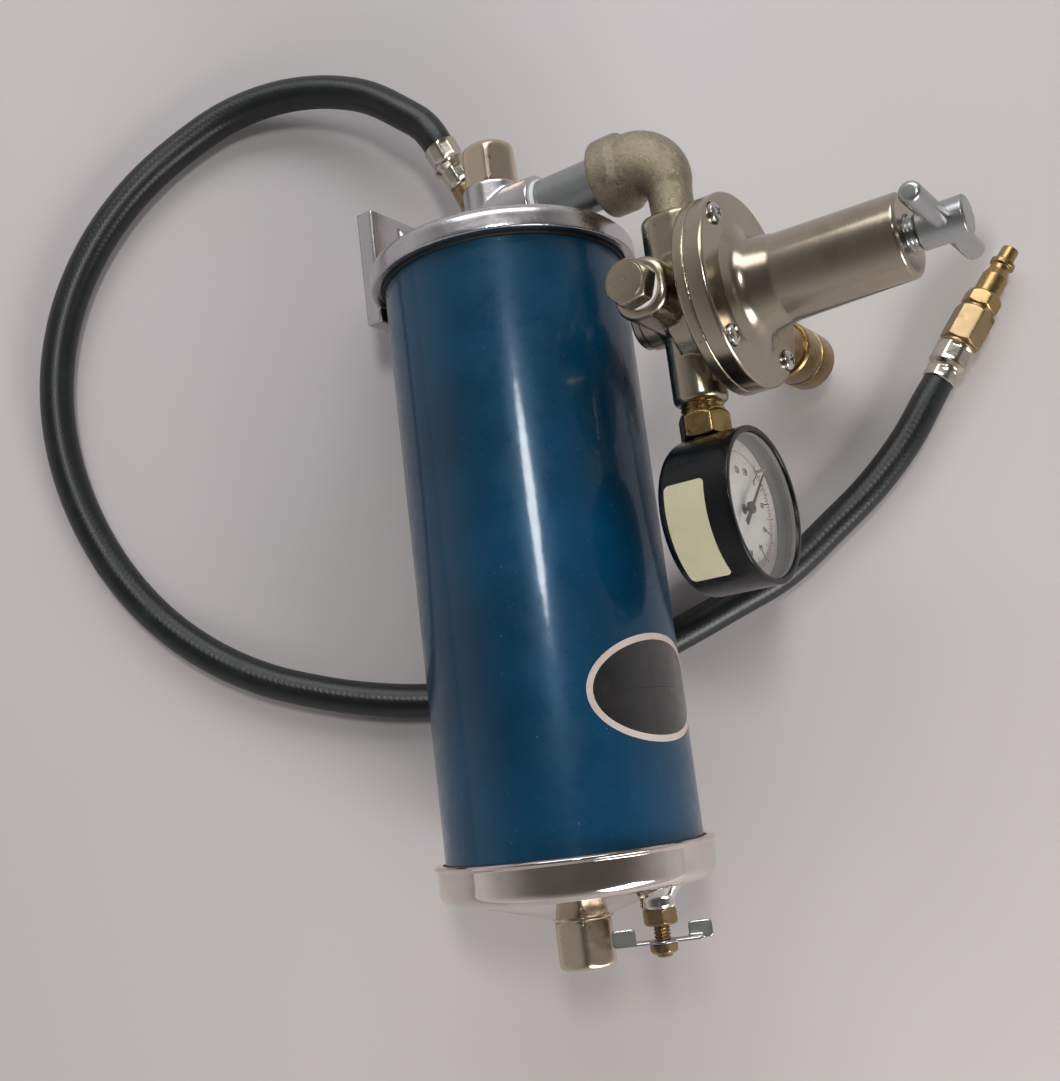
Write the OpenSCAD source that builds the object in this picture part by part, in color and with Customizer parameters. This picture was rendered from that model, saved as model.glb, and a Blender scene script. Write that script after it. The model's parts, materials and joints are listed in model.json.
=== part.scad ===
// Wall-mounted compressed-air control unit: a filter canister with a pressure
// regulator, a gauge, a quick coupler, a drain cock and a whip hose.
// Every module is drawn standing up, with Z along the canister, X toward the
// regulator and Y toward the coupler; laid() then lays the unit on its side.

/* [Canister] */
// Outside diameter of the tube
tube_d = 101.6; // [96:0.1:108]
// Wall of the tube
tube_wall = 2; // [1.5:0.1:3]
// Length of tube that shows between its rims
tube_h = 236.6; // [200:0.2:260]
// Depth that each end of the tube sits in its rim
tube_seat = 4; // [3:0.1:5]
// Thickness of the ring gaskets
gasket_t = 2; // [1.5:0.1:2.5]
// Wall of the bottom pan
pan_wall = 1.6; // [1.2:0.1:2.2]
// Depth of the bottom pan
pan_h = 25; // [22:0.5:28]
// Depth of the pan's side before it turns in
pan_side = 15.5; // [14:0.5:18]
// Radius of the pan's lower edge
pan_round = 13; // [10:0.5:15]
// Diameter of the tie rod
rod_d = 9.5; // [8:0.1:10.5]
// Across flats of the tie rod's cap nuts
cap_af = 22; // [20:0.5:24]
// Height of the top cap nut
cap_top_h = 20.5; // [18:0.5:24]
// Height of the bottom cap nut
cap_bottom_h = 18.3; // [15:0.1:20]
// Thickness of the washer under the bottom cap nut
washer_t = 1.5; // [1:0.1:2.5]

/* [Head casting] */
// Thickness of the skirt round the tube
skirt_t = 5.7; // [4.5:0.1:7]
// Height of the skirt
skirt_h = 10.5; // [9.5:0.1:12]
// Radius of the skirt's upper edge
skirt_round = 4.5; // [3:0.5:5]
// Thickness of the head's top plate
head_t = 4; // [3:0.1:4.2]
// Diameter of the centre boss
boss_d = 26; // [25:0.5:29]
// Height of the boss above the top plate
boss_h = 31.6; // [30:0.1:36]
// Height of the outlet above the top plate
outlet_z = 15.6; // [15:0.1:20]
// Reach of the outlet socket from the rod
outlet_reach = 25; // [24:0.5:32]

/* [Wall bracket] */
// Reach of the bracket's face from the rod
bracket_reach = 59.5; // [58:0.5:66]
// Thickness of the bracket plate
bracket_t = 8.5; // [6:0.1:8.6]
// Width of the bracket plate
bracket_w = 44; // [38:1:45]
// Height of the bracket plate
bracket_h = 52; // [46:0.5:56]
// Diameter of the bracket's screw holes
bracket_hole_d = 7; // [5:0.1:8]
// Distance between the bracket's screw holes
bracket_pitch = 26; // [22:0.5:28]

/* [Pipework] */
// Outside diameter of the pipe nipple
nipple_d = 21.3; // [20:0.1:22]
// Reach of the elbow's band from the rod
band_x = 55; // [52:0.5:58]
// Reach of the regulator's inlet from the rod
port_x = 83; // [80:0.5:90]
// Diameter of the elbow's band
band_d = 32; // [31:0.5:36]
// Diameter of the elbow's body behind its band
elbow_d = 28.5; // [26:0.5:29]
// Diameter of the elbow's body above its male leg
elbow_end_d = 18; // [17.5:0.5:22]
// Bend radius of the elbow
elbow_bend = 15; // [14.5:0.5:16]
// Diameter of the elbow's male leg
leg_d = 17.1; // [15:0.1:18]

/* [Regulator] */
// Diameter of the regulator's flanges
flange_d = 76; // [72:1:80]
// Thickness of the body's flange
body_flange_t = 5; // [4:0.5:6]
// Thickness of the bonnet's flange
bonnet_flange_t = 7.5; // [6:0.5:9]
// Depth of the body's core, centred on its ports
body_depth = 24; // [22:0.5:25]
// Width of the body's arms
arm_w = 25; // [25:0.5:28]
// Reach of the body's arms from the bonnet's axis
arm_reach = 38; // [36:0.5:40]
// Diameter of the bonnet at its flange
bonnet_d = 34; // [32:0.5:37]
// Diameter of the bonnet at its end
bonnet_end_d = 31; // [29:0.5:32]
// Length of the bonnet beyond its flange
bonnet_l = 61.5; // [50:0.5:65]
// Wall of the bonnet
bonnet_wall = 3; // [2.5:0.1:4]
// Number of flange screws
screw_n = 4; // [4:1:8]
// Radius of the circle of flange screws
screw_circle = 33; // [31.5:0.5:33.5]

/* [Adjusting screw] */
// Diameter of the adjusting screw
screw_d = 12.7; // [10:0.1:13.5]
// Pitch of the adjusting screw
screw_pitch = 1.5; // [1:0.25:2]
// Diameter of the screw's hub
hub_d = 14.8; // [14:0.1:16]
// Length of the screw's hub
hub_l = 17; // [15:0.5:20]
// Diameter of the cross bar
bar_d = 7.9; // [6:0.1:8.5]
// Length of the cross bar
bar_l = 72; // [50:1:80]

/* [Gauge] */
// Diameter of the gauge's case
gauge_d = 60; // [56:0.5:62]
// Depth of the gauge's case
gauge_depth = 30; // [26:0.5:30]
// Thickness of the case's rim
gauge_rim = 2.6; // [2:0.1:3.5]
// Depth of the dial behind the rim
dial_depth = 9; // [8:0.5:10]
// Across flats of the gauge's bushing
bushing_af = 18; // [17:0.5:19]
// Height of the bushing's hexagon
bushing_hex_h = 10; // [7:0.5:11]
// Height of the bushing's thread that shows
bushing_thread_h = 3.5; // [3:0.5:9]

/* [Coupler] */
// Diameter of the coupler's sleeve
sleeve_d = 26; // [25:0.5:27]
// Length of the coupler's sleeve
sleeve_l = 31; // [29:0.5:33]
// Travel of the coupler's sleeve
sleeve_travel = 6; // [4:0.5:7]
// Reach of the coupler's nose from the regulator's axis
nose_reach = 121; // [119:0.5:123]
// Diameter of the coupler's nose
nose_d = 20.4; // [20:0.1:20.8]
// Bore of the coupler
coupler_bore = 8.1; // [8:0.05:8.4]

/* [Drain cock] */
// Distance of the drain from the rod
drain_x = 34.5; // [33.5:0.1:36]
// Diameter of the pan's drain boss
drain_boss_d = 14; // [12:0.5:16]
// Across flats of the drain's body
drain_af = 12; // [11.5:0.5:14]
// Diameter of the drain's stem
drain_stem_d = 6.4; // [5.5:0.1:7]
// Length of the drain's wing
wing_l = 38; // [32:0.5:41]

/* [Whip hose] */
// Outside diameter of the hose
hose_d = 15; // [13:0.5:16]
// Diameter of the hose's ferrules
ferrule_d = 18; // [17:0.5:19]
// Across flats of the hose's brass nut
hose_nut_af = 17; // [16:0.5:18]

/* [Hidden] */
$fn = 64;

// Clearances, each on the radius
thread_gap = 0.05;  // round a screwed-in piece
slide_gap = 0.06;   // round a piece that turns or slides
free_gap = 0.5;     // where pieces must never meet
touch_gap = 0.02;   // between faces that all but touch
cut = 1;            // how far a cut runs past a face, and a joined shape into the next

// Nuts
nut_corner = 0.2;                 // how far a turned profile passes a hexagon's corners
nut_face = 0.3;                   // how far its flat end stays inside the hexagon's faces

// Canister
tube_r = tube_d / 2;
tube_in = tube_r - tube_wall;
skirt_r = tube_r + skirt_t;
head_top = tube_h + skirt_h;
boss_top = head_top + boss_h;
slot_top = tube_h + tube_seat + gasket_t;
lip_t = 1.2;                      // gasket lip between the tube and its rims
head_lip = 0.8;                   // how far the head's gasket shows below its rim
pan_r = tube_r + 3.4;
pan_lip = 1.2;                    // how far the pan's lip stands out
pan_lip_h = 1.6;
pan_foot_r = cap_af / 2 + 2;      // flat round the rod at the pan's bottom
pan_slope_in = 3;                 // where the sloping bottom meets the round edge
pan_slope_up = 0.35;
pan_inner_round = pan_round - 7;
pan_floor = -pan_h + pan_wall;
inner_r = tube_in - 2.5;          // inside of both rims' inner ledges
rod_bore = rod_d + 2 * thread_gap;
nut_z = -pan_h - washer_t;
bottom_z = nut_z - cap_bottom_h;
top_z = boss_top + cap_top_h;
cap_wall = 4;                     // closed end of a cap nut
cap_corner = 0.1;                 // how far its rounding passes the corners
cap_turn = 2;
cap_top_round = 6.5;
cap_bottom_round = 4;
washer_d = cap_af + 2;
air_bore = 14;
bracket_z = tube_h - 6;
web_w = 7;
web_seat = 4;                     // how far the web runs into the skirt
web_top = 35;                     // where the web's slope meets the head, from the rod
web_step = 1;
inlet_x = -17.8;
inlet_y = 11.2;
inlet_thread_d = 12;
inlet_pad = 3;
inlet_pad_d = inlet_thread_d + 6;
label_w = 67;
label_h = 41;
label_z = 56.8;
label_turn = -5.5;
label_t = 0.3;
label_step = 7.5;                 // angle between the corners of the label's oval

// Drain cock
drain_top = -pan_side - 8.5;
drain_hex_h = 6;
drain_end = drain_top - drain_hex_h;
drain_seat = drain_top + 1;
drain_turn = 10;
drain_thread_d = 9.8;
drain_in = 2.5;                   // how far the drain's thread passes the pan's side
drain_bore = 3.5;
seal_t = 1.5;
drain_nut_af = 9.5;
drain_nut_h = 3.6;
drain_nut_wall = 1.6;
drain_nut_turn = 20;
stem_below = 2;                   // how far the stem passes its wing
wing_t = 1.2;
wing_z = drain_end - 5.5;
wing_turn = 32;

// Filter stack on the tie rod
element_d = 70;
element_bore = 40;
element_z0 = 70;
element_z1 = tube_h - 35;
plate_t = 2;
spacer_d = 16;
baffle_z = 38;
baffle_d = 88;
baffle_h = 8;
baffle_cone = 24;                 // how much narrower the baffle is at its top
end_plate_d = element_d + 4;
vent_d = 5;
vent_circle = 14;                 // radius of the circle of vents
vent_n = 6;

// Outlet pipe and regulator
outlet_abs = head_top + outlet_z;
socket_d = 27;
nipple_bore = 15.8;
nipple_in = 12;                   // nipple inside the elbow's band
tape_t = 0.7;
tape_w = 1.8;
elbow_bore = 12;
leg_shoulder = 3;                 // leg that shows above the regulator
band_l = 12;
regulator_drop = 65.2;              // from the outlet's axis to the bonnet's axis
reg_z = outlet_abs - regulator_drop;
body_back = port_x - body_depth / 2;
body_front = port_x + 14.5;         // back of the body's flange
seat_x = body_front + body_flange_t;       // where the two flanges meet
flange_x = seat_x + bonnet_flange_t;
bonnet_end = flange_x + bonnet_l;
port_depth = 12;
port_free = 2;                    // how far a thread stops short of its port's end
core_d = 46;                      // the body between its arms and its flange
neck_d = 60;
neck_l = 6;
port_bore = 8;
cross_bore = 7;                   // bore from each lower port to the core
cross_bore_l = 14;
cross_bore_in = 4;
pilot_bore = 4;                   // bore from a cross bore to the diaphragm's chamber
pilot_r = 20;
side_arm_w = 23;
low_arm_w = 21;
arm_round = 9;
arm_edge = 2.5;
arm_waist = 1;                    // how much thinner than wide an arm is
arm_corner = 1.2;                 // how far its end's rounding passes its corners
diaphragm_t = 1.5;
diaphragm_d = flange_d - 18;
chamber_d = diaphragm_d - 10;
chamber_t = 3;
cap_boss_d = 22;
cap_boss_l = 5;
cap_depth = 7;                    // valve cap's thread outside the body's back
cap_in = 1;                       // and inside it
cap_head_h = 3.5;
cap_step = 1;
cap_key_af = 6;
cap_key_depth = 2.5;
end_wall = 8;
plug_thread_d = 15;
plug_tape = 2;
plug_tape_t = 0.8;
plug_turned = 12;
plug_af = 16.5;
plug_h = 7.5;

// Flange screws and the bonnet's edges
bonnet_edge = 1.5;
foot_fillet = 8;
flange_screw_d = 4;
screw_hole_d = 4.6;
screw_seat = 1;                   // how deep the screws' heads sit
screw_seat_d = 8.4;
screw_head_d = 7.8;
screw_head_h = 3.6;
screw_dome_d = 12;
screw_turn = 25;
recess_l = 4;                     // cross recess
recess_w = 1;
recess_z = 1.3;

// Angles of the flange screws round the bonnet, from straight up toward the coupler
screw_angles = [for (i = [0 : screw_n - 1]) 360 / screw_n * (i + 0.5)];

// Points of the elbow's bend and its radius at each, from the band to the leg
bend_steps = 12;
bend_points = [for (i = [0 : bend_steps]) let (a = 90 - 90 * i / bend_steps)
  [port_x - elbow_bend + elbow_bend * cos(a), 0, outlet_abs - elbow_bend + elbow_bend * sin(a)]];
bend_taper = 1.6;
bend_radii = [for (i = [0 : bend_steps])
  (elbow_d + (elbow_end_d - elbow_d) * pow(i / bend_steps, bend_taper)) / 2];

// Valve inside the regulator
poppet_d = 9;
orifice_d = 6;
orifice_l = 4;
poppet_l = 4;
poppet_seat = port_x + 5;
poppet_lift = 0.65;
poppet_chamber = 12;
stem_d = 3;
tail_d = 5;
tail_in = 1;
tail_room = 4;                    // depth of the tail's bore in the valve cap
tail_spring_d = tail_d + 1.2;
plate_d = 40;
disc_t = 1.5;
plate_room = 2;                   // round the diaphragm plate
plate_room_l = 4;
plate_boss_d = 10;
plate_boss_h = 3;

// Range spring, button and adjusting screw
turns_in = 2;
turns_out = 4;
button_t = 4;
button_back = bonnet_end - end_wall - turns_out * screw_pitch - 2;
button_d = bonnet_end_d - 2 * bonnet_wall - 2;
spring_t = 3;
spring_room = 1;
pilot_l = 4;                      // the button's pilot in its spring
hub_edge = 0.8;
hub_x = bonnet_end + turns_in * screw_pitch + free_gap;
bar_from_hub = 8.3;

// Gauge
gauge_back = port_x - 10.5;
gauge_front = gauge_back + gauge_depth;
gauge_r = gauge_d / 2;
case_wall = 1.2;
case_edge = 5;
case_lip = 2;                     // depth of the case's thicker rim
case_flat_d = 24;                 // flat under the bushing
case_flat_h = 2;
reg_bottom = reg_z - arm_reach;
bushing_z = reg_bottom - bushing_thread_h - bushing_hex_h;
gauge_z = bushing_z - gauge_r + 0.4;
dial_x = gauge_front - dial_depth;
bushing_d = 16.5;
gauge_stem_d = 13.2;
bushing_turn = 10;
bushing_bore = 6;
stem_in = 12;                     // depth of the gauge's stem in the bushing
dial_t = 1;
dial_gap = 0.1;
dial_bore = 3;
lens_t = 1.5;
lens_depth = 4;
pointer_zero = 45;
pointer_l = 20;
pointer_tail = 9;
pointer_t = 0.6;
pointer_gap = 1;                  // pointer over the dial
pointer_hub_d = 5;
pointer_hub_h = 1.4;
pointer_hub_gap = 0.8;
spindle_out = 2;                  // spindle in front of the dial
sticker_t = 0.15;
sticker_w = 16;
sticker_x = 4.5;                  // from the case's back
sticker_from = 253;
sticker_sweep = 74;
spindle_d = 1.6;
gear_t = 1.2;
gear_x = dial_x - 8.5;            // back of the pinion and the sector
pinion_r = 1.3;
sector_ratio = 9;                 // turns of the pointer in one turn of the sector
sector_r = pinion_r * sector_ratio;
sector_arm = pinion_r + sector_r + slide_gap;
pointer_sweep = 270;
movement_t = 1;
movement_w = 8;
movement_over = 3;                // plates beyond the sector's axis
movement_back = 1.5;              // back plate behind the gears
movement_front = 1.7;             // front plate before their backs
pivot_d = 4;
sector_spare = 10;                // toothed arc beyond the pointer's sweep
sector_start = 185;
block_drop = 8;                   // from the socket's block to the pointer's axis
block_w = 14;
block_t = 10;
block_up = 6;                     // from the block's foot to its stem
socket_bore = 3;
horn_w = 6;                       // piece of the socket that holds the Bourdon tube
horn_h = 12;
horn_y = 12;
horn_up = 5;
bourdon_back = gauge_back + 4;
bourdon_in = 9;                   // from the case's radius to the tube
bourdon_t = 2.5;
bourdon_w = 7;
bourdon_start = -155;
bourdon_sweep = 270;

// Coupler
coupler_z = reg_z + 3;
nose_y = nose_reach;
nose_lip = 3;
sleeve_end = nose_y - nose_lip;
sleeve_start = sleeve_end - sleeve_l;
barrel_r = 8.75;
sleeve_in = sleeve_d / 2 - 1.8;
shoulder_y = sleeve_start + 3;
land_y = shoulder_y + 13;
ball_d = 4.1;
ball_y = nose_y - 7.5;
mouth_d = 12.4;                   // takes the ring of a plug
mouth_l = 12;
coupler_back = 58;
coupler_hex = 22;
coupler_hex_l = 12;
coupler_stem_d = 13.7;
nipple_hole = 8;
nipple_seat = 8;                  // nipple inside the coupler
nipple_port = 9;
coupler_hole = 6;
valve_room = 14;                  // from the coupler's back to its valve's room
valve_room_l = 20;
valve_d = 12;
valve_l = 5;
valve_flat = 10;
valve_spring_d = 10.5;
valve_spring_l = 15;
nose_edge = 0.6;
sleeve_edge = 1.5;
sleeve_lip = 0.3;                 // sleeve's end round the nose
ball_room = 3;
groove_y = 17;                    // from the sleeve's end to its groove
groove_w = 1;
groove_t = 0.8;
coil_gap = 0.3;

// How the unit lies: on the hose under its tube, on the head's rim and on the coupler's nose
hose_r = hose_d / 2;
rest_gap = 0.2;
hose_cross = 66;                                    // height up the tube where it lies on the hose
rim_z = head_top - skirt_round;
rim_span = rim_z - hose_cross;
tilt = asin((hose_d + rest_gap) / norm([rim_span, skirt_t])) - atan2(skirt_t, rim_span);
lift = rim_z * sin(tilt) + skirt_r * cos(tilt);
nose_arm = port_x - nose_d / 2;
nose_low = lift / cos(tilt) - coupler_z * tan(tilt);
roll = atan2(nose_y, nose_arm) - asin(nose_low / norm([nose_arm, nose_y]));
set_x = -55.9;
set_y = -134.4;

// Hose and its fittings
ferrule_l = 22.5;
fitting_l = 9.8;
elbow_body_d = 12.5;
knee_d = elbow_body_d + 1.2;
knee_h = 35.5;                      // from the head's top plate to the inlet elbow's knee
hose_lean = 23.7;
hose_lean_to = 218;
hose_stub = 2.5;                    // hose that leaves its ferrule straight
inlet_bore = 6;
knee_bore = 7;
passage_d = 5;
crimp = 0.3;                        // how far a ferrule stands out from the hose
ferrule_edge = 0.5;
groove_depth = 0.6;
narrow_r = 5;                       // inlet ferrule at its fitting
taper_r = 6.3;
plug_ferrule_l = 18.5;
hose_nut_l = 20;
plug_hex_af = 15.5;
plug_hex_l = 8;
plug_body_d = 12.2;
plug_tip_d = 7.9;
plug_l = 33.5;
plug_neck = 18.5;                   // where the plug narrows
plug_neck_r = 4.6;
plug_ring = 25;                     // its locking ring
plug_ring_r = 5.7;
plug_edge = 0.6;
plug_up = 9.8;                      // height of the plug's axis
plug_roll = 8;
nut_collar_h = 1.6;
nut_core_d = 14;

// Where a point of the standing unit comes to lie
function laid_point(p) =
  let (across = p[0] * cos(roll) + p[1] * sin(roll), up = p[0] * sin(roll) - p[1] * cos(roll))
  [set_x + across, set_y + p[2] * cos(tilt) + up * sin(tilt), lift - p[2] * sin(tilt) + up * cos(tilt)];

elbow_knee = [inlet_x, inlet_y, head_top + knee_h];

// Direction in which the hose leaves the inlet elbow
lean_dir = [sin(hose_lean) * cos(hose_lean_to), sin(hose_lean) * sin(hose_lean_to), cos(hose_lean)];
hose_exit = laid_point(elbow_knee + lean_dir * (fitting_l + ferrule_l));
hose_first = laid_point(elbow_knee + lean_dir * (fitting_l + ferrule_l + hose_stub));

// Points that the middle of the hose follows, from its exit to the plug's ferrule
HOSE = [hose_exit, hose_first, [-83, 187.5, 32.5], [-93, 197, 30], [-109, 209.5, 24.5], [-125, 216, 20],
  [-150, 219.5, 14], [-175, 215.5, 9.5], [-199, 203.5, hose_r], [-223.5, 184.5, hose_r], [-243.5, 161, hose_r],
  [-259, 131, hose_r], [-266.5, 99, hose_r], [-266, 65, hose_r], [-258, 32.5, hose_r], [-245, 5, hose_r],
  [-228, -18, hose_r], [-208, -36, hose_r], [-185.5, -49.5, hose_r], [-160, -59, hose_r], [-134, -65.5, hose_r],
  [-108, -69, hose_r], [-80, -70, hose_r], [-50, -68, hose_r], [-22, -62, hose_r], [4, -52.5, hose_r],
  [28, -42.5, hose_r], [53, -31.5, hose_r], [78, -13.5, hose_r], [100.5, 4.5, 8], [118.5, 23.5, 9],
  [129.5, 38.6, plug_up], [135.5, 46.6, plug_up]];
plug_at = HOSE[len(HOSE) - 1];
plug_dir = plug_at - HOSE[len(HOSE) - 2];
plug_turn = atan2(plug_dir[1], plug_dir[0]);

module laid() {
  translate([set_x, set_y, lift]) rotate([-tilt, 0, 0]) rotate([0, -roll, 0]) rotate([-90, 0, 0]) children();
}

echo(tilt = tilt, roll = roll, lift = lift, set_x = set_x, set_y = set_y);

// ---- Shapes that repeat ----

module at_x(x, z = 0, y = 0) { translate([x, y, z]) rotate([0, 90, 0]) children(); }
module at_y(y, z = 0, x = 0) { translate([x, y, z]) rotate([-90, 0, 0]) children(); }

module ring(outer, inner, h) {
  difference() {
    cylinder(d = outer, h = h);
    translate([0, 0, -cut]) cylinder(d = inner, h = h + 2 * cut);
  }
}

module hexagon(af, h) { cylinder(d = af / cos(30), h = h, $fn = 6); }

// Hexagon with its corners turned off at both ends
module hex_nut(af, h, low = 0.06, high = 0.06) {
  r = af / 2;
  out = af / sqrt(3) + nut_corner;
  intersection() {
    hexagon(af, h);
    rotate_extrude() polygon([[0, 0], [low ? r - nut_face : out, 0], [out, af * low], [out, h - af * high],
      [high ? r - nut_face : out, h], [0, h]]);
  }
}

// Half profile of a round cup or cap, its outer edge rounded at the closed end
module rounded_half(r, h, edge) {
  square([r - edge, h]);
  translate([0, edge]) square([r, h - edge]);
  translate([r - edge, edge]) intersection() {
    circle(edge);
    translate([0, -edge]) square(edge);
  }
}

module rounded_rect(a, b, r) {
  square([a - 2 * r, b], center = true);
  square([a, b - 2 * r], center = true);
  for (x = [-1, 1], y = [-1, 1]) translate([x * (a / 2 - r), y * (b / 2 - r)]) circle(r);
}

// ---- Canister ----

module tube() {
  color("#1d4f73") translate([0, 0, -tube_seat]) ring(tube_d, 2 * tube_in, tube_h + 2 * tube_seat);
}

module pan() {
  color("#d9d9dc") difference() {
    union() {
      rotate_extrude() {
        translate([0, -pan_side]) rounded_half(pan_r, pan_side, pan_round);
        polygon([[0, -pan_h], [pan_foot_r, -pan_h],
          [pan_r - pan_round + pan_slope_in, pan_slope_up - pan_side], [0, cut - pan_side]]);
        translate([0, -pan_lip_h]) square([pan_r + pan_lip, pan_lip_h]);
      }
      translate([drain_x, 0, drain_top]) cylinder(d = drain_boss_d, h = cut - drain_top - pan_side);
    }
    rotate_extrude() {
      translate([0, pan_wall - pan_side]) rounded_half(inner_r, pan_side - pan_wall + cut, pan_inner_round);
      polygon([[0, pan_floor], [pan_foot_r, pan_floor], [inner_r - pan_inner_round, pan_wall - pan_side],
        [0, pan_wall - pan_side + cut]]);
      translate([0, -tube_seat - gasket_t]) square([tube_r + lip_t, tube_seat + gasket_t + cut]);
    }
    translate([0, 0, -pan_h - cut]) cylinder(d = rod_bore, h = pan_h);
    translate([drain_x, 0, drain_top - cut]) cylinder(d = drain_thread_d + 2 * thread_gap, h = -drain_top);
  }
}

module rim_gasket(lip) {
  ring(2 * (tube_r + lip_t), 2 * inner_r, gasket_t);
  translate([0, 0, gasket_t]) ring(2 * (tube_r + lip_t), tube_d, tube_seat + lip);
}

module pan_gasket() {
  color("#15171a") translate([0, 0, -tube_seat - gasket_t]) rim_gasket(0);
}

module head_gasket() {
  color("#15171a") translate([0, 0, slot_top]) mirror([0, 0, 1]) rim_gasket(head_lip);
}

module head() {
  color("#c3c5c8") difference() {
    union() {
      rotate_extrude() {
        translate([0, head_top]) mirror([0, 1]) rounded_half(skirt_r, skirt_h, skirt_round);
        translate([0, head_top - cut]) square([boss_d / 2, boss_h + cut]);
      }
      at_x(0, outlet_abs) cylinder(d = socket_d, h = outlet_reach);
      bracket();
    }
    rotate_extrude() {
      translate([0, tube_h - cut]) square([inner_r, skirt_h - head_t + cut]);
      translate([inner_r - cut, tube_h - cut])
        square([tube_r + lip_t - inner_r + cut, slot_top - tube_h + cut]);
    }
    translate([0, 0, tube_h]) cylinder(d = rod_bore, h = boss_top - tube_h + cut);
    at_x(boss_d / 2 - cut, outlet_abs) cylinder(d = nipple_d + 2 * thread_gap, h = outlet_reach);
    at_x(0, outlet_abs) cylinder(d = air_bore, h = outlet_reach);
    translate([0, 0, tube_h]) cylinder(d = air_bore, h = outlet_abs - tube_h + air_bore / 2);
    translate([inlet_x, inlet_y, tube_h])
      cylinder(d = inlet_thread_d + 2 * thread_gap, h = skirt_h + inlet_pad + cut);
    for (s = [-1, 1]) at_x(-bracket_reach - cut, bracket_z + bracket_h / 2, s * bracket_pitch / 2)
      cylinder(d = bracket_hole_d, h = bracket_t + 2 * cut);
  }
}

module bracket() {
  back = -bracket_reach + bracket_t - cut;
  translate([-bracket_reach, -bracket_w / 2, bracket_z]) cube([bracket_t, bracket_w, bracket_h]);
  rotate([90, 0, 0]) translate([0, 0, -web_w / 2]) linear_extrude(web_w)
    polygon([[back, tube_h], [-skirt_r + web_seat, tube_h], [-skirt_r + web_seat, head_top - skirt_round],
      [-web_top, head_top - cut], [-web_top, head_top], [back, bracket_z + bracket_h - web_step]]);
  translate([inlet_x, inlet_y, head_top - cut]) cylinder(d = inlet_pad_d, h = inlet_pad + cut);
}

module tie_rod() {
  from = bottom_z + cap_wall;
  color("#b7b9bd") translate([0, 0, from]) cylinder(d = rod_d, h = top_z - cap_wall - from);
}

// Cap nut, its closed end up and rounded
module cap_nut(h, edge) {
  color("#a99f90") difference() {
    intersection() {
      hexagon(cap_af, h);
      rotate_extrude() translate([0, h]) mirror([0, 1]) rounded_half(cap_af / sqrt(3) + cap_corner, h, edge);
    }
    translate([0, 0, -cut]) cylinder(d = rod_bore, h = h - cap_wall + cut);
  }
}

module top_cap_nut() { translate([0, 0, boss_top]) rotate(-cap_turn) cap_nut(cap_top_h, cap_top_round); }

module bottom_cap_nut() {
  translate([0, 0, nut_z]) mirror([0, 0, 1]) rotate(cap_turn) cap_nut(cap_bottom_h, cap_bottom_round);
}

module bottom_washer() {
  color("#b9ada0") translate([0, 0, nut_z]) ring(washer_d, rod_bore, washer_t);
}

module label_plate() {
  half = label_w / 2 / tube_r * 180 / PI;
  color("#1b1b1d") rotate(label_turn) intersection() {
    ring(2 * (tube_r + label_t), tube_d, tube_h);
    rotate([90, 0, 90]) linear_extrude(tube_r + cut) translate([0, label_z]) polygon([
      for (t = [0 : label_step : 359]) [tube_r * sin(half * cos(t)), label_h / 2 * sin(t)]]);
  }
}

module filter_element() {
  color("#d8d2c0") translate([0, 0, element_z0]) ring(element_d, element_bore, element_z1 - element_z0);
}

module element_plate() {
  color("#b7b9bd") difference() {
    cylinder(d = end_plate_d, h = plate_t);
    translate([0, 0, -cut]) cylinder(d = rod_bore, h = plate_t + 2 * cut);
    children();
  }
}

module element_bottom_plate() { translate([0, 0, element_z0 - plate_t]) element_plate(); }

module element_top_plate() {
  translate([0, 0, element_z1]) element_plate()
    for (i = [0 : vent_n - 1]) rotate(360 / vent_n * i) translate([vent_circle, 0, -cut])
      cylinder(d = vent_d, h = plate_t + 2 * cut);
}

module spacer_tube() {
  color("#b7b9bd") translate([0, 0, element_z1 + plate_t])
    ring(spacer_d, rod_bore, head_top - head_t - element_z1 - plate_t);
}

module baffle() {
  color("#b7b9bd") difference() {
    union() {
      translate([0, 0, pan_floor]) cylinder(d = spacer_d, h = element_z0 - plate_t - pan_floor);
      translate([0, 0, baffle_z]) difference() {
        cylinder(d1 = baffle_d, d2 = baffle_d - baffle_cone, h = baffle_h);
        translate([0, 0, -plate_t]) cylinder(d1 = baffle_d, d2 = baffle_d - baffle_cone, h = baffle_h);
      }
    }
    translate([0, 0, pan_floor - cut]) cylinder(d = rod_bore, h = element_z0 - pan_floor + cut);
  }
}

// ---- Drain cock ----

module drain_body() {
  color("#a8803c") translate([drain_x, 0, 0]) difference() {
    union() {
      translate([0, 0, drain_end]) rotate(drain_turn) hex_nut(drain_af, drain_hex_h);
      translate([0, 0, drain_top]) cylinder(d = drain_thread_d, h = drain_in - pan_side - drain_top);
    }
    translate([0, 0, drain_end - cut])
      cylinder(d = drain_stem_d + 2 * slide_gap, h = drain_seat - drain_end + cut);
    translate([0, 0, drain_end]) cylinder(d = drain_bore, h = drain_in - pan_side - drain_end + cut);
  }
}

module drain_seal() {
  color("#222222") translate([drain_x, 0, drain_seat - seal_t]) cylinder(d = drain_stem_d, h = seal_t);
}

module drain_stem() {
  foot = wing_z - wing_t - stem_below;
  color("#9a7434") translate([drain_x, 0, foot]) cylinder(d = drain_stem_d, h = drain_seat - seal_t - foot);
}

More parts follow.
